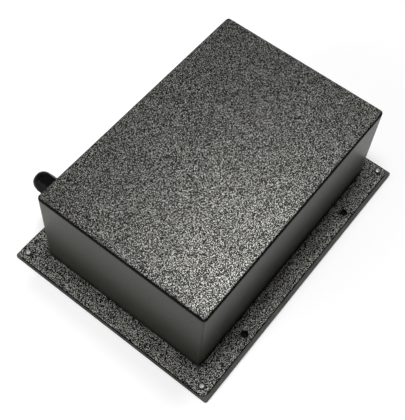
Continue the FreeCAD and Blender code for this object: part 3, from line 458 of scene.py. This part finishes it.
def blend(tree, share, first, second):
    """A colour between two, by a share. The Mix node's colours are its inputs 6 and 7, and its
    output 2."""
    made = add(tree, "ShaderNodeMix", {"Factor": share}, data_type="RGBA")
    for key, value in ((6, first), (7, second)):
        if isinstance(value, bpy.types.NodeSocket):
            tree.links.new(value, made.inputs[key])
        else:
            made.inputs[key].default_value = (*value, 1.0)
    return made.outputs[2]


def bump(tree, height, distance, strength=1.0):
    """A bump of a height from 0 to 1 that is a distance high."""
    made = add(tree, "ShaderNodeBump", {
        "Height": height, "Distance": distance, "Strength": strength})
    return made.outputs["Normal"]


def new_finish(name, **inputs):
    """A material with one shader, whose constant inputs are set on it. Returns the material, its
    tree, its shader and its object coordinates."""
    made = bpy.data.materials.new(name)
    made.use_nodes = True
    tree = made.node_tree
    shader = tree.nodes["Principled BSDF"]
    for key, value in inputs.items():
        shader.inputs[key.replace("_", " ")].default_value = value
    place = add(tree, "ShaderNodeTexCoord").outputs["Object"]
    return made, tree, shader, place


def darker(colour, by):
    """A colour made darker by a share."""
    return tuple(channel * (1 - by) for channel in colour)


def edge_gap(tree, place, low, high, wall_share=0.35):
    """Distance from the nearest top edge of a box, for points on its top or its walls: the larger
    of a share of the depth under the top and the smallest distance from a wall's plane."""
    parts = add(tree, "ShaderNodeSeparateXYZ", {0: place}).outputs
    gaps = []
    for axis in range(2):
        middle, half = (low[axis] + high[axis]) / 2, (high[axis] - low[axis]) / 2
        off = maths(tree, "ABSOLUTE", maths(tree, "SUBTRACT", parts[axis], middle))
        gaps.append(maths(tree, "SUBTRACT", half, off))
    under = maths(tree, "MULTIPLY", maths(tree, "SUBTRACT", high.z, parts[2]), wall_share)
    return maths(tree, "MAXIMUM", maths(tree, "MINIMUM", *gaps), under)


def look_up(tree):
    """1 on faces that look straight up or down, and 0 on upright ones."""
    normal = add(tree, "ShaderNodeTexCoord").outputs["Normal"]
    facing = add(tree, "ShaderNodeSeparateXYZ", {0: normal}).outputs["Z"]
    return ramp(tree, maths(tree, "ABSOLUTE", facing), low=0.75, high=0.97)


def hammertone(name, paint, flake, wall, gloss, rim, painted_shade_width):
    """Dark powder coat with raised silvery veins, which are where a fine noise is high. The veins are
    strong on faces that look up and faint on upright walls, as painted light for how each face is lit.
    Along the top edges of the box given as the rim, the colour is painted black and dull as shade, in
    a line that is narrower where a vein lies."""
    wall_vein, wall_relief = 0.1, 0.25
    cloud_pitch, rim_notch = 45 * MM, 0.35 * MM
    made, tree, shader, place = new_finish(name, Specular_IOR_Level=gloss)
    vein = ramp(tree, noise(tree, place, paint.vein_pitch, detail=0.0), low=0.53, high=0.68)
    level = look_up(tree)
    cloud = ramp(tree, noise(tree, place, cloud_pitch), *NOISE_BULK, start=0.9, end=1.1)
    # Painted light: the veins are strong on faces that look up and faint on upright walls.
    painted_light_by_facing = maths(tree, "MULTIPLY_ADD", level, 1 - wall_vein, wall_vein)
    share = maths(tree, "MULTIPLY", painted_light_by_facing, vein)
    share = maths(tree, "MULTIPLY", share, cloud, clamp=True)
    ground = blend(tree, level, tuple(wall), tuple(paint.ground))
    colour = blend(tree, share, ground, tuple(paint.vein))
    # Painted shade: a black, dull line along the top edges of the rim's box, where the bends are
    # shaded.
    gap = maths(tree, "MULTIPLY_ADD", vein, rim_notch, edge_gap(tree, place, *rim))
    clear_of_edge_shade = ramp(tree, gap, low=painted_shade_width / 2, high=painted_shade_width)
    colour = blend(tree, clear_of_edge_shade, tuple(paint.rim), colour)
    share = maths(tree, "MULTIPLY", share, clear_of_edge_shade)
    tree.links.new(colour, shader.inputs["Base Color"])
    tree.links.new(maths(tree, "MULTIPLY", share, flake), shader.inputs["Metallic"])
    vein_rough = ramp(tree, vein, start=0.36, end=0.38)
    rim_rough = ramp(tree, clear_of_edge_shade, start=0.95, end=0.0)
    tree.links.new(maths(tree, "MAXIMUM", vein_rough, rim_rough), shader.inputs["Roughness"])
    height = maths(tree, "MULTIPLY_ADD", level, 1 - wall_relief, wall_relief)
    relief = maths(tree, "MULTIPLY", height, vein)
    tree.links.new(bump(tree, relief, paint.vein_rise), shader.inputs["Normal"])
    return made


def smooth_coat(name, paint):
    """Satin powder coat without veins: dark grey on level faces and black on upright ones as painted
    shade, with a faint orange peel."""
    made, tree, shader, place = new_finish(name, Roughness=0.5, Specular_IOR_Level=0.1)
    cloud = ramp(tree, noise(tree, place, pitch=12 * MM, detail=3.0), *NOISE_BULK)
    plate = blend(tree, cloud, darker(paint.plate, by=0.25), tuple(paint.plate))
    # Painted shade: upright faces take the black rim colour.
    tree.links.new(blend(tree, look_up(tree), tuple(paint.rim), plate), shader.inputs["Base Color"])
    peel = noise(tree, place, pitch=1.2 * MM, detail=1.0)
    tree.links.new(bump(tree, peel, distance=0.03 * MM), shader.inputs["Normal"])
    return made


def metal(name, colour, roughness, grain=0.25 * MM, worn=0.1):
    """Plated or turned metal: fine noise in its roughness and a faint stain in its colour."""
    made, tree, shader, place = new_finish(name, Metallic=1.0)
    stain = ramp(tree, noise(tree, place, pitch=6 * MM, detail=3.0), low=0.35, high=0.65)
    stained = darker(colour, by=2 * worn)
    tree.links.new(blend(tree, stain, stained, colour), shader.inputs["Base Color"])
    fine = noise(tree, place, grain)
    rough = ramp(tree, fine, low=0.2, high=0.8, start=roughness - worn, end=roughness + worn)
    tree.links.new(rough, shader.inputs["Roughness"])
    tree.links.new(bump(tree, fine, distance=0.01 * MM, strength=0.6), shader.inputs["Normal"])
    return made


def zinc_plate(name, roughness):
    """Bright zinc plating on steel."""
    return metal(name, (0.66, 0.67, 0.69), roughness, grain=0.3 * MM, worn=0.07)


def metal_with_painted_shade_ring(name):
    """Bright plating with painted shade outside about 0.6 of a screw head's radius: a dark ring round
    the head's bright middle. The attribute "rim" is the distance from the screw's axis, as a share of
    that radius."""
    made, tree, shader, place = new_finish(name, Roughness=0.3)
    rim = add(tree, "ShaderNodeAttribute", attribute_name="rim").outputs["Fac"]
    # Painted shade: the head is dark outside about 0.6 of its radius.
    ring = ramp(tree, rim, low=0.55, high=0.72)
    stain = ramp(tree, noise(tree, place, pitch=1 * MM), *NOISE_BULK)
    plate = blend(tree, stain, (0.62, 0.63, 0.64), (0.8, 0.81, 0.82))
    tree.links.new(blend(tree, ring, plate, (0.01, 0.01, 0.01)), shader.inputs["Base Color"])
    tree.links.new(ramp(tree, ring, start=0.55, end=0.2), shader.inputs["Metallic"])
    fine = noise(tree, place, pitch=0.3 * MM)
    tree.links.new(bump(tree, fine, distance=0.01 * MM, strength=0.6), shader.inputs["Normal"])
    return made


def moulded(name, colour, roughness, grain=0.5 * MM, relief=0.02 * MM, shade=0.2, **inputs):
    """Moulded plastic or rubber: a fine grain as bump, and a slow drift of its colour."""
    made, tree, shader, place = new_finish(name, **inputs)
    drift = ramp(tree, noise(tree, place, pitch=18 * MM), *NOISE_BULK)
    tree.links.new(blend(tree, drift, darker(colour, shade), colour), shader.inputs["Base Color"])
    fine = noise(tree, place, grain, detail=3.0, roughness=0.6)
    rough = ramp(tree, fine, *NOISE_BULK, start=roughness - 0.05, end=roughness + 0.08)
    tree.links.new(rough, shader.inputs["Roughness"])
    tree.links.new(bump(tree, fine, relief, strength=0.8), shader.inputs["Normal"])
    return made


def foam(name, colour):
    """Closed-cell foam: round cells as hollows, with painted shade at their bottoms."""
    made, tree, shader, place = new_finish(name, Roughness=0.95, Specular_IOR_Level=0.2)
    cell = 0.9 * MM
    cells = add(tree, "ShaderNodeTexVoronoi", {"Vector": place, "Scale": 1 / cell})
    depth_and_shade = ramp(tree, cells.outputs["Distance"], low=0.0, high=0.6)
    # Painted shade: the cells darken towards their bottoms.
    tree.links.new(blend(tree, depth_and_shade, darker(colour, by=0.6), colour), shader.inputs["Base Color"])
    tree.links.new(bump(tree, depth_and_shade, distance=0.2 * MM), shader.inputs["Normal"])
    return made


# Stage

def add_camera(stage):
    """The camera at the photograph's viewing angle."""
    camera = bpy.data.objects.new("camera", bpy.data.cameras.new("camera"))
    camera.data.lens = stage.lens
    camera.data.clip_start = 0.01
    camera.location = stage.eye
    camera.rotation_euler = stage.turn
    bpy.context.scene.collection.objects.link(camera)
    bpy.context.scene.camera = camera


def add_lamp(name, direction, size, level, distance=1.2):
    """A square soft lamp that points at the middle of the object. Its power is the one that
    brings a white surface facing it to a level: level pi^2 distance^2."""
    lamp = bpy.data.objects.new(name, bpy.data.lights.new(name, "AREA"))
    lamp.data.shape = "SQUARE"
    lamp.data.size = size
    lamp.data.energy = level * (math.pi * distance) ** 2
    lamp.location = Vector(direction).normalized() * distance
    lamp.rotation_euler = (-lamp.location).to_track_quat("-Z", "Y").to_euler()
    bpy.context.scene.collection.objects.link(lamp)
    return lamp


def ray_kinds(tree):
    """1 for a ray from the camera, else 0, and 1 for a ray from a reflection or a clear piece."""
    path = add(tree, "ShaderNodeLightPath").outputs
    reflected = maths(tree, "MAXIMUM", path["Is Glossy Ray"], path["Is Transmission Ray"])
    return path["Is Camera Ray"], reflected


def pale_floor(stage):
    """A plain pale surface. Where it is seen, its colour is lifted towards white, a little near
    the object and more where the lamps hardly reach."""
    made, tree, shader, place = new_finish("pale_floor", Roughness=0.9, Specular_IOR_Level=0.0)
    shader.inputs["Base Color"].default_value = (*stage.floor, 1)
    shader.inputs["Emission Color"].default_value = (1, 1, 1, 1)
    seen = maths(tree, "MAXIMUM", *ray_kinds(tree))
    away = add(tree, "ShaderNodeVectorMath", {0: place}, operation="LENGTH").outputs["Value"]
    lift = ramp(tree, away, low=0.1, high=1.7, start=0.08, end=0.95)
    tree.links.new(maths(tree, "MULTIPLY", seen, lift), shader.inputs["Emission Strength"])
    return made


def lay_flat(name, low, high, level, finish):
    """A level rectangle between two corners, as part of the stage."""
    corners = [(low[0], low[1], level), (high[0], low[1], level), (high[0], high[1], level),
               (low[0], high[1], level)]
    mesh = bpy.data.meshes.new(name)
    mesh.from_pydata(corners, [], [(0, 1, 2, 3)])
    mesh.materials.append(finish)
    sheet = bpy.data.objects.new(name, mesh)
    bpy.context.scene.collection.objects.link(sheet)


def add_ground(stage):
    """A wide floor, and over it a thin dark mat that ends short of the back plate's edges: a dark
    sheet put in as painted shade, so that the mounting holes look down into shade."""
    reach, floor_level, shade_mat_level, inset = 6.0, -0.05 * MM, -0.02 * MM, 4 * MM
    lay_flat("floor", (-reach, -reach), (reach, reach), floor_level, pale_floor(stage))
    low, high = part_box("back_plate")
    # Painted shade: a dark sheet under the back plate, seen only through the mounting holes.
    lay_flat("painted_shade_mat", (low.x + inset, low.y + inset), (high.x - inset, high.y - inset), shade_mat_level,
             foam("painted_shade_mat_foam", (0.01, 0.01, 0.01)))


def add_room(stage):
    """Even light from all round. Where the camera sees it the room is white, and where it is
    reflected it is white at the horizon and darker towards the ceiling."""
    world = bpy.data.worlds.new("room")
    world.use_nodes = True
    tree = world.node_tree
    background = tree.nodes["Background"]
    background.inputs["Color"].default_value = (1, 1, 1, 1)
    direction = add(tree, "ShaderNodeTexCoord").outputs["Generated"]
    upwards = add(tree, "ShaderNodeSeparateXYZ", {0: direction}).outputs["Z"]
    shown = ramp(tree, upwards, low=0.0, high=0.2, start=1.0, end=stage.ceiling)
    seen, reflected = ray_kinds(tree)
    strength = maths(tree, "MAXIMUM", seen, maths(tree, "MULTIPLY", reflected, shown))
    tree.links.new(maths(tree, "MAXIMUM", strength, stage.sky), background.inputs["Strength"])
    bpy.context.scene.world = world


# Pieces

def cross_head(head, rise, shank, tip, screws, pitch):
    """A pan-head screw about +Z, with its seat at height 0. The head's top is a dome of height
    rise (1 - (r / R)^2.4)^(1/2), less the cross recess: a depth times the larger of two wings, each
    a product of two smooth steps, one along the wing and one across it. A wing narrows outwards."""
    outer, rod = head / 2, shank / 2
    reach, half = screws.recess_long * outer, screws.recess_wide * head / 2
    depth, soft = screws.recess_deep * rise, 0.12 * outer
    middle_wide, narrowing, fine_zone = 1.25, 0.5, 1.15 * reach
    thread_depth, end_long, end_inset = 0.3 * MM, 0.2 * MM, 0.25 * MM

    def top(radius):
        def height(angle):
            x, y = radius * np.cos(angle), radius * np.sin(angle)
            dome = rise * np.sqrt(max(0.0, 1 - (radius / outer) ** 2.4))
            taper = half * (middle_wide - narrowing * radius / reach)
            wings = np.maximum(smooth_step(x, reach, soft) * smooth_step(y, taper, soft),
                               smooth_step(y, reach, soft) * smooth_step(x, taper, soft))
            return dome - depth * wings
        return height

    radii = [*np.linspace(0, fine_zone, 20), *np.linspace(fine_zone, outer, 12)[1:]]
    rows = [(radius, top(radius)) for radius in radii]
    rows += [(outer, 0.0), (rod, 0.0)]
    rows += thread_rows(rod, thread_depth, pitch, tip + end_long, 0.0)[::-1][1:]
    rows += [(rod - end_inset, tip), (0.0, tip)]
    return turned(rows, columns=48)


def corner_screws(screws, finish):
    """Four screws in the flange's corners, evenly about the origin, and each turned differently.
    The attribute "rim" is the distance from a screw's axis, as a share of the head's radius."""
    low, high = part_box("corner_screws")
    head, shank = 5.6 * MM, 3 * MM
    first_turn, turn_step = 0.5, 1.9
    points, faces = cross_head(head, high.z - FLANGE_TOP, shank, low.z - FLANGE_TOP, screws,
                               screws.thread_pitch)
    pieces = []
    corners = [(x, y) for x in (low.x, high.x) for y in (low.y, high.y)]
    for index, (x, y) in enumerate(corners):
        centre = (x + math.copysign(head / 2, -x), y + math.copysign(head / 2, -y), FLANGE_TOP)
        angle = first_turn + turn_step * index
        cos, sin = math.cos(angle), math.sin(angle)
        spun = points @ np.array([[cos, sin, 0], [-sin, cos, 0], [0, 0, 1]])
        pieces.append(moved((spun, faces), centre))
    made = stand_in("corner_screws", "pan_head_screws", *combine(pieces), finish)
    axis = np.array([high.x - head / 2, high.y - head / 2])
    rim = np.linalg.norm(np.abs(mesh_points(made.data)[:, :2]) - axis, axis=1) / (head / 2)
    made.data.attributes.new("rim", "FLOAT", "POINT").data.foreach_set("value", rim)


def dome_nut(gland, nylon):
    """The gland's cap nut. Behind it is a hexagon with chamfered ends. In front of a groove is a
    ball, of radius (R^2 - (y - middle)^2)^(1/2), which the mouth cuts off flat. The inside follows
    the cone that squeezes the seal."""
    low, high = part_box("gland_nut")
    bottom, tip = low.y, high.y
    ball, middle, neck = gland.ball, tip - gland.ball_front, 0.6 * MM
    front = middle - neck
    mouth, bore, lip = 3.5 * MM, 6.33 * MM, 0.25 * MM
    cone_front, cone_back = tip - 3.7 * MM, tip - 7.7 * MM
    side = hexagon_radius(GLAND_FLATS, rounding=0.3 * MM)
    end, slope, chamfer_zone = GLAND_FLATS / 2 - 0.1 * MM, 1.5, 1 * MM
    heights = [*np.linspace(bottom, bottom + chamfer_zone, 6),
               *np.linspace(front - chamfer_zone, front, 6)]
    rows = chamfered_rows(side, end, slope, bottom, front, heights)
    tilts = np.linspace(math.asin((front - middle) / ball), math.asin(gland.ball_front / ball), 24)
    rows += [(ball * math.cos(tilt), middle + ball * math.sin(tilt)) for tilt in tilts]
    rows += [(mouth + lip, tip), (mouth, tip - lip), (mouth, cone_front), (bore, cone_back)]
    rows += [(bore, bottom)]
    centre = ((low.x + high.x) / 2, 0.0, (low.z + high.z) / 2)
    points, faces = moved(turned(rows, columns=144), centre, upright=False)
    stand_in("gland_nut", "gland_dome_nut", points, faces, nylon, smooth=40.0)


def gland_body(gland, nylon):
    """The gland's body: a chamfered hexagon, with a thread inside the wall and one under the
    dome nut. The seal's seat is a wider bore at the front."""
    low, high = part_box("gland_body")
    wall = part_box("housing_pan")[1].y
    crest, bore, seat = 6.25 * MM, 4 * MM, 4.8 * MM
    washer, hexagon_long, seat_back = 1.5 * MM, 4.5 * MM, wall + 9 * MM
    base, collar = wall + washer, high.y
    top = base + hexagon_long
    bevel, lead_in, lead_long = 0.3 * MM, 0.5 * MM, 0.4 * MM
    run_in, run_out = 0.1 * MM, 0.2 * MM
    side = hexagon_radius(GLAND_FLATS, rounding=0.2 * MM)
    end, slope = GLAND_FLATS / math.sqrt(3) - 0.8 * MM, 1.7
    pitch, depth = gland.thread_pitch, gland.thread_depth
    rows = [(bore, low.y + bevel), (bore + bevel, low.y), (crest - lead_in, low.y)]
    rows += thread_rows(crest, depth, pitch, low.y + lead_long, wall - run_out)
    rows += [(crest, wall), (crest, base)]
    rows += chamfered_rows(side, end, slope, base, top, np.linspace(base, top, 13))
    rows += [(crest, top)]
    rows += thread_rows(crest, depth, pitch, top + run_in, collar - bevel)
    rows += [(crest - bevel, collar), (seat, collar), (seat, seat_back), (bore, seat_back)]
    centre = ((low.x + high.x) / 2, 0.0, (low.z + high.z) / 2)
    points, faces = moved(turned(rows, columns=96), centre, upright=False)
    stand_in("gland_body", "gland_threaded_body", points, faces, nylon, smooth=40.0)


def hold_down_studs(studs, zinc):
    """Two weld studs on the back plate: a foot, a plain shank and a thread at the top."""
    low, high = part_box("hold_down_studs")
    foot, rod, foot_high, foot_bevel = 3.3 * MM, 2.5 * MM, 1 * MM, 0.3 * MM
    core, thread_depth, end_bevel = rod - 0.25 * MM, 0.45 * MM, 0.5 * MM
    rise, run_in = high.z - low.z, 0.1 * MM
    plain = rise - studs.thread_long
    rows = [(0.0, 0.0), (foot, 0.0), (foot, foot_high - foot_bevel), (foot - foot_bevel, foot_high),
            (core, foot_high), (core, plain)]
    rows += thread_rows(rod, thread_depth, studs.thread_pitch, plain + run_in, rise - end_bevel)
    rows += [(rod - end_bevel, rise), (0.0, rise)]
    stud = turned(rows, columns=24)
    x = (low.x + high.x) / 2
    places = [(x, low.y + foot, low.z), (x, high.y - foot, low.z)]
    stand_in("hold_down_studs", "weld_studs", *combine([moved(stud, place) for place in places]), zinc)


def hold_down_nuts(zinc):
    """Two hexagon nuts, chamfered at both ends by a cone that opens at about 30 degrees from the
    end face."""
    low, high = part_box("hold_down_nuts")
    flats, bore, countersink = 8 * MM, 2.6 * MM, 0.4 * MM
    rise, corner = high.z - low.z, flats / math.sqrt(3)
    side = hexagon_radius(flats, rounding=0.05 * MM)
    end, slope = flats / 2 - 0.1 * MM, 1.73
    rows = [(bore, countersink), (bore + countersink, 0.0)]
    rows += chamfered_rows(side, end, slope, 0.0, rise, np.linspace(0, rise, 17))
    rows += [(bore + countersink, rise), (bore, rise - countersink)]
    nut = turned(rows, columns=96)
    x = (low.x + high.x) / 2
    places = [(x, low.y + corner, low.z), (x, high.y - corner, low.z)]
    stand_in("hold_down_nuts", "hexagon_nuts", *combine([moved(nut, place) for place in places]), zinc)


def soft_strip(low, high, bulge, rows=24, columns=64, square=0.14):
    """A rounded strip between two corners: a superellipsoid with half sizes a, b and c, where
    x = a C(v) C(u), y = b C(v) S(u), z = c S(v), and C and S are the cosine and sine raised to a
    small power with their sign kept. Its sides bulge by a share at half height."""
    half = (np.array(high) - np.array(low)) / 2
    centre = (np.array(high) + np.array(low)) / 2
    u = np.arange(columns) * 2 * math.pi / columns
    v = np.linspace(-math.pi / 2, math.pi / 2, rows)
    v, u = np.meshgrid(v, u, indexing="ij")

    def power(value):
        return np.sign(value) * np.abs(value) ** square

    ring, z = power(np.cos(v)), power(np.sin(v))
    swell = 1 - bulge * z * z
    points = np.stack([ring * power(np.cos(u)) * swell, ring * power(np.sin(u)) * swell, z], axis=-1)
    return (points * half + centre).reshape(-1, 3), grid_faces(rows, columns)


def soft_strips(node, name, finish):
    """The strips of one node, as soft pieces in the boxes of its solids."""
    strips = [soft_strip(low, high, bulge=0.03) for low, high in solid_boxes(node)]
    made = stand_in(node, name, *combine(strips), finish, smooth=60.0)


def slotted_screw(size, rise):
    """A headless screw about +Z: a disc whose top has a straight slot, as a smooth step across."""
    outer = size / 2
    slot_deep, slot_half, soft, bevel = 0.7 * MM, 0.28 * outer, 0.1 * outer, 0.15 * MM

    def top(radius):
        return lambda angle: rise - slot_deep * smooth_step(radius * np.sin(angle), slot_half, soft)

    rows = [(radius, top(radius)) for radius in np.linspace(0, 0.92 * outer, 14)]
    rows += [(outer, rise - bevel), (outer, 0.0), (0.0, 0.0)]
    return turned(rows, columns=40)


def terminal_screws(zinc):
    """The clamping screws of the terminal block, one in the place of each solid."""
    pieces = []
    for low, high in solid_boxes("terminal_screws"):
        screw = slotted_screw(high[0] - low[0], high[2] - low[2])
        pieces.append(moved(screw, ((low[0] + high[0]) / 2, (low[1] + high[1]) / 2, low[2])))
    stand_in("terminal_screws", "slotted_screws", *combine(pieces), zinc)


def fixing_screw(screws, zinc):
    """The screw that holds the terminal block on the back plate."""
    low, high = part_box("block_fixing_screw")
    head, rise, shank, pitch = high.x - low.x, 1.6 * MM, 2.5 * MM, 0.45 * MM
    seat = high.z - rise
    screw = cross_head(head, rise, shank, low.z - seat, screws, pitch)
    place = ((low.x + high.x) / 2, (low.y + high.y) / 2, seat)
    stand_in("block_fixing_screw", "fixing_screw", *moved(screw, place), zinc)


# Operators

class STAGE_OT_battery_box(bpy.types.Operator):
    """Set up the camera, the lamps and the pale floor"""

    bl_idname = "battery_box.stage"
    bl_label = "Stage"

    def execute(self, context):
        stage = context.scene.battery_box_stage
        context.scene.view_settings.view_transform = "Standard"
        add_camera(stage)
        key = add_lamp("key", direction=(-0.05, 0.05, 0.95), size=0.35, level=stage.key_level)
        key.visible_glossy = False
        add_lamp("top", direction=(0.3, 0.05, 0.95), size=0.3, level=stage.top_level)
        add_lamp("side", direction=(-0.85, 0.35, 0.5), size=0.6, level=stage.side_level)
        add_ground(stage)
        add_room(stage)
        return {"FINISHED"}


class SHEET_OT_battery_box(bpy.types.Operator):
    """Paint the cover, its flange, the weld at its foot and the back plate"""

    bl_idname = "battery_box.sheet_metal"
    bl_label = "Painted sheet metal"

    def execute(self, context):
        paint = context.scene.battery_box_paint
        cover_box, flange_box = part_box("housing_pan"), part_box("flange_frame")
        cover_coat = hammertone("hammertone_cover", paint, flake=paint.flake, wall=paint.wall,
                                gloss=0.2, rim=cover_box, painted_shade_width=paint.painted_shade_width)
        # The flange's upright faces take the rim's black as their colour: painted shade.
        flange_coat = hammertone("hammertone_flange", paint, flake=paint.flange_flake, wall=paint.rim,
                                 gloss=0.08, rim=flange_box, painted_shade_width=paint.flange_painted_shade_width)
        plain_coat = smooth_coat("smooth_coat", paint)
        cover = dress("housing_pan", "folded_cover", cover_coat, edge=paint.edge_round)
        tighten_corners(cover.data, *cover_box, wide=SOLID_CORNER, tight=paint.corner_round)
        dress("flange_frame", "flange", flange_coat, edge=paint.edge_round)
        dress("foot_weld", "foot_bead", plain_coat, edge=paint.edge_round)
        dress("back_plate", "back_sheet", plain_coat, edge=paint.edge_round)
        return {"FINISHED"}


class SCREWS_OT_battery_box(bpy.types.Operator):
    """Put cross-recess screws in the corners of the flange"""

    bl_idname = "battery_box.corner_screws"
    bl_label = "Corner screws"

    def execute(self, context):
        corner_screws(context.scene.battery_box_screws, metal_with_painted_shade_ring("bright_screw"))
        return {"FINISHED"}


class GLAND_OT_battery_box(bpy.types.Operator):
    """Build the cable gland with its threads, washer, locknut and seal"""

    bl_idname = "battery_box.cable_gland"
    bl_label = "Cable gland"

    def execute(self, context):
        gland = context.scene.battery_box_gland
        nylon = moulded("black_nylon", (0.0025, 0.0025, 0.0026), roughness=0.38, grain=0.35 * MM,
                        relief=0.01 * MM, Specular_IOR_Level=0.09)
        rubber = moulded("black_rubber", (0.012, 0.012, 0.012), roughness=0.7, grain=0.3 * MM,
                         relief=0.015 * MM)
        dome_nut(gland, nylon)
        gland_body(gland, nylon)
        dress("gland_locknut", "gland_lock_nut", nylon, edge=0.35 * MM)
        dress("gland_washer", "gland_sealing_washer", rubber, edge=0.3 * MM)
        dress("gland_seal", "gland_rubber_seal", rubber, edge=0.2 * MM)
        return {"FINISHED"}


class BATTERIES_OT_battery_box(bpy.types.Operator):
    """Finish the two batteries and the foam strips that they lie on"""

    bl_idname = "battery_box.batteries"
    bl_label = "Batteries"

    def execute(self, context):
        case = moulded("battery_case", (0.085, 0.09, 0.1), roughness=0.5, grain=0.45 * MM,
                       relief=0.04 * MM)
        lid = moulded("battery_lid", (0.03, 0.032, 0.037), roughness=0.42, grain=0.6 * MM)
        tab = metal("tinned_tab", (0.75, 0.72, 0.62), roughness=0.32)
        for letter in ("a", "b"):
            dress(f"battery_{letter}_case", f"cell_case_{letter}", case, edge=0.5 * MM)
            dress(f"battery_{letter}_lid", f"cell_lid_{letter}", lid, edge=0.3 * MM)
            dress(f"battery_{letter}_vent_cover", f"vent_cover_{letter}", lid, edge=0.25 * MM)
            dress(f"battery_{letter}_terminals", f"terminal_tabs_{letter}", tab, edge=0.12 * MM)
        strip = foam("closed_cell_foam", (0.045, 0.045, 0.05))
        soft_strips("base_pads", "foam_strips", strip)
        return {"FINISHED"}


class CLAMP_OT_battery_box(bpy.types.Operator):
    """Build the hold-down with its studs and nuts, and the stop angle"""

    bl_idname = "battery_box.hold_down"
    bl_label = "Hold-down"

    def execute(self, context):
        zinc = zinc_plate("zinc_plate", roughness=0.42)
        rubber = moulded("strip_rubber", (0.016, 0.016, 0.017), roughness=0.75, grain=0.3 * MM)
        dress("hold_down_plate", "clamp_plate", zinc, edge=0.3 * MM)
        dress("hold_down_washers", "flat_washers", zinc, edge=0.12 * MM)
        dress("battery_stop", "stop_angle", zinc, edge=0.3 * MM)
        hold_down_studs(context.scene.battery_box_studs, zinc)
        hold_down_nuts(zinc)
        soft_strips("hold_down_rubber", "rubber_strips", rubber)
        return {"FINISHED"}


class BLOCK_OT_battery_box(bpy.types.Operator):
    """Finish the terminal block with its barrels and screws"""

    bl_idname = "battery_box.terminal_block"
    bl_label = "Terminal block"

    def execute(self, context):
        ivory = moulded("ivory_polyamide", (0.72, 0.69, 0.6), roughness=0.4, relief=0.015 * MM,
                        Subsurface_Weight=0.1, Subsurface_Radius=(0.002, 0.0015, 0.001))
        brass = metal("turned_brass", (0.75, 0.52, 0.2), roughness=0.28)
        zinc = zinc_plate("clamp_screw_plate", roughness=0.35)
        dress("terminal_block", "connector_block", ivory, edge=0.25 * MM)
        dress("terminal_barrels", "brass_barrels", brass, edge=0.12 * MM)
        terminal_screws(zinc)
        fixing_screw(context.scene.battery_box_screws, zinc)
        return {"FINISHED"}


class FUSE_OT_battery_box(bpy.types.Operator):
    """Finish the fuse, its holder and its cap"""

    bl_idname = "battery_box.fuse"
    bl_label = "Fuse"

    def execute(self, context):
        black = moulded("holder_plastic", (0.014, 0.014, 0.015), roughness=0.45)
        amber = moulded("fuse_plastic", (0.75, 0.2, 0.02), roughness=0.2, grain=0.6 * MM,
                        relief=0.004 * MM, Transmission_Weight=0.6, IOR=1.49)
        dress("fuse_holder", "holder_block", black, edge=0.25 * MM)
        dress("blade_fuse", "fuse_body", amber, edge=0.12 * MM)
        dress("fuse_cap", "holder_cap", black, edge=0.2 * MM)
        return {"FINISHED"}


class LEADS_OT_battery_box(bpy.types.Operator):
    """Finish the leads, their receptacles and the boots over them"""

    bl_idname = "battery_box.leads"
    bl_label = "Leads"

    def execute(self, context):
        for node, name, colour in (
            ("positive_lead", "lead_positive", (0.5, 0.012, 0.01)),
            ("fused_lead", "lead_fused", (0.5, 0.012, 0.01)),
            ("negative_lead", "lead_negative", (0.012, 0.012, 0.013)),
            ("link_lead", "lead_link", (0.012, 0.05, 0.3)),
        ):
            sleeve = moulded(f"{name}_sleeve", colour, roughness=0.36, grain=0.4 * MM,
                             relief=0.01 * MM, shade=0.12)
            dress(node, name, sleeve, smooth=50.0)
        vinyl = moulded("clear_vinyl", (0.62, 0.62, 0.58), roughness=0.3, grain=0.8 * MM,
                        Subsurface_Weight=0.3, Subsurface_Radius=(0.002, 0.002, 0.0018))
        brass = metal("tinned_brass", (0.75, 0.7, 0.55), roughness=0.3)
        dress("receptacle_boots", "terminal_boots", vinyl, edge=0.3 * MM)
        dress("receptacle_clips", "terminal_clips", brass, edge=0.1 * MM)
        return {"FINISHED"}


OPERATORS = (
    STAGE_OT_battery_box, SHEET_OT_battery_box, SCREWS_OT_battery_box, GLAND_OT_battery_box,
    BATTERIES_OT_battery_box, CLAMP_OT_battery_box, BLOCK_OT_battery_box, FUSE_OT_battery_box,
    LEADS_OT_battery_box,
)


class VIEW3D_PT_battery_box(bpy.types.Panel):
    """The box's settings and the operators that build its pieces"""

    bl_label = "Battery box"
    bl_idname = "VIEW3D_PT_battery_box"
    bl_space_type = "VIEW_3D"
    bl_region_type = "UI"
    bl_category = "Battery box"

    def draw(self, context):
        for name, settings in SETTINGS.items():
            section = self.layout.box()
            for key in settings.__annotations__:
                section.prop(getattr(context.scene, name), key)
        for operator in OPERATORS:
            self.layout.operator(operator.bl_idname)


def register():
    """Register the settings, the operators and the panel."""
    for settings in SETTINGS.values():
        bpy.utils.register_class(settings)
    for name, settings in SETTINGS.items():
        setattr(bpy.types.Scene, name, PointerProperty(type=settings))
    for shown in (*OPERATORS, VIEW3D_PT_battery_box):
        bpy.utils.register_class(shown)


def unregister():
    """Take the panel, the operators and the settings away again."""
    for shown in reversed((*OPERATORS, VIEW3D_PT_battery_box)):
        bpy.utils.unregister_class(shown)
    for name in SETTINGS:
        delattr(bpy.types.Scene, name)
    for settings in SETTINGS.values():
        bpy.utils.unregister_class(settings)


def main():
    """Build every piece."""
    register()
    bpy.ops.battery_box.stage()
    bpy.ops.battery_box.sheet_metal()
    bpy.ops.battery_box.corner_screws()
    bpy.ops.battery_box.cable_gland()
    bpy.ops.battery_box.batteries()
    bpy.ops.battery_box.hold_down()
    bpy.ops.battery_box.terminal_block()
    bpy.ops.battery_box.fuse()
    bpy.ops.battery_box.leads()


if __name__ == "__main__":
    main()
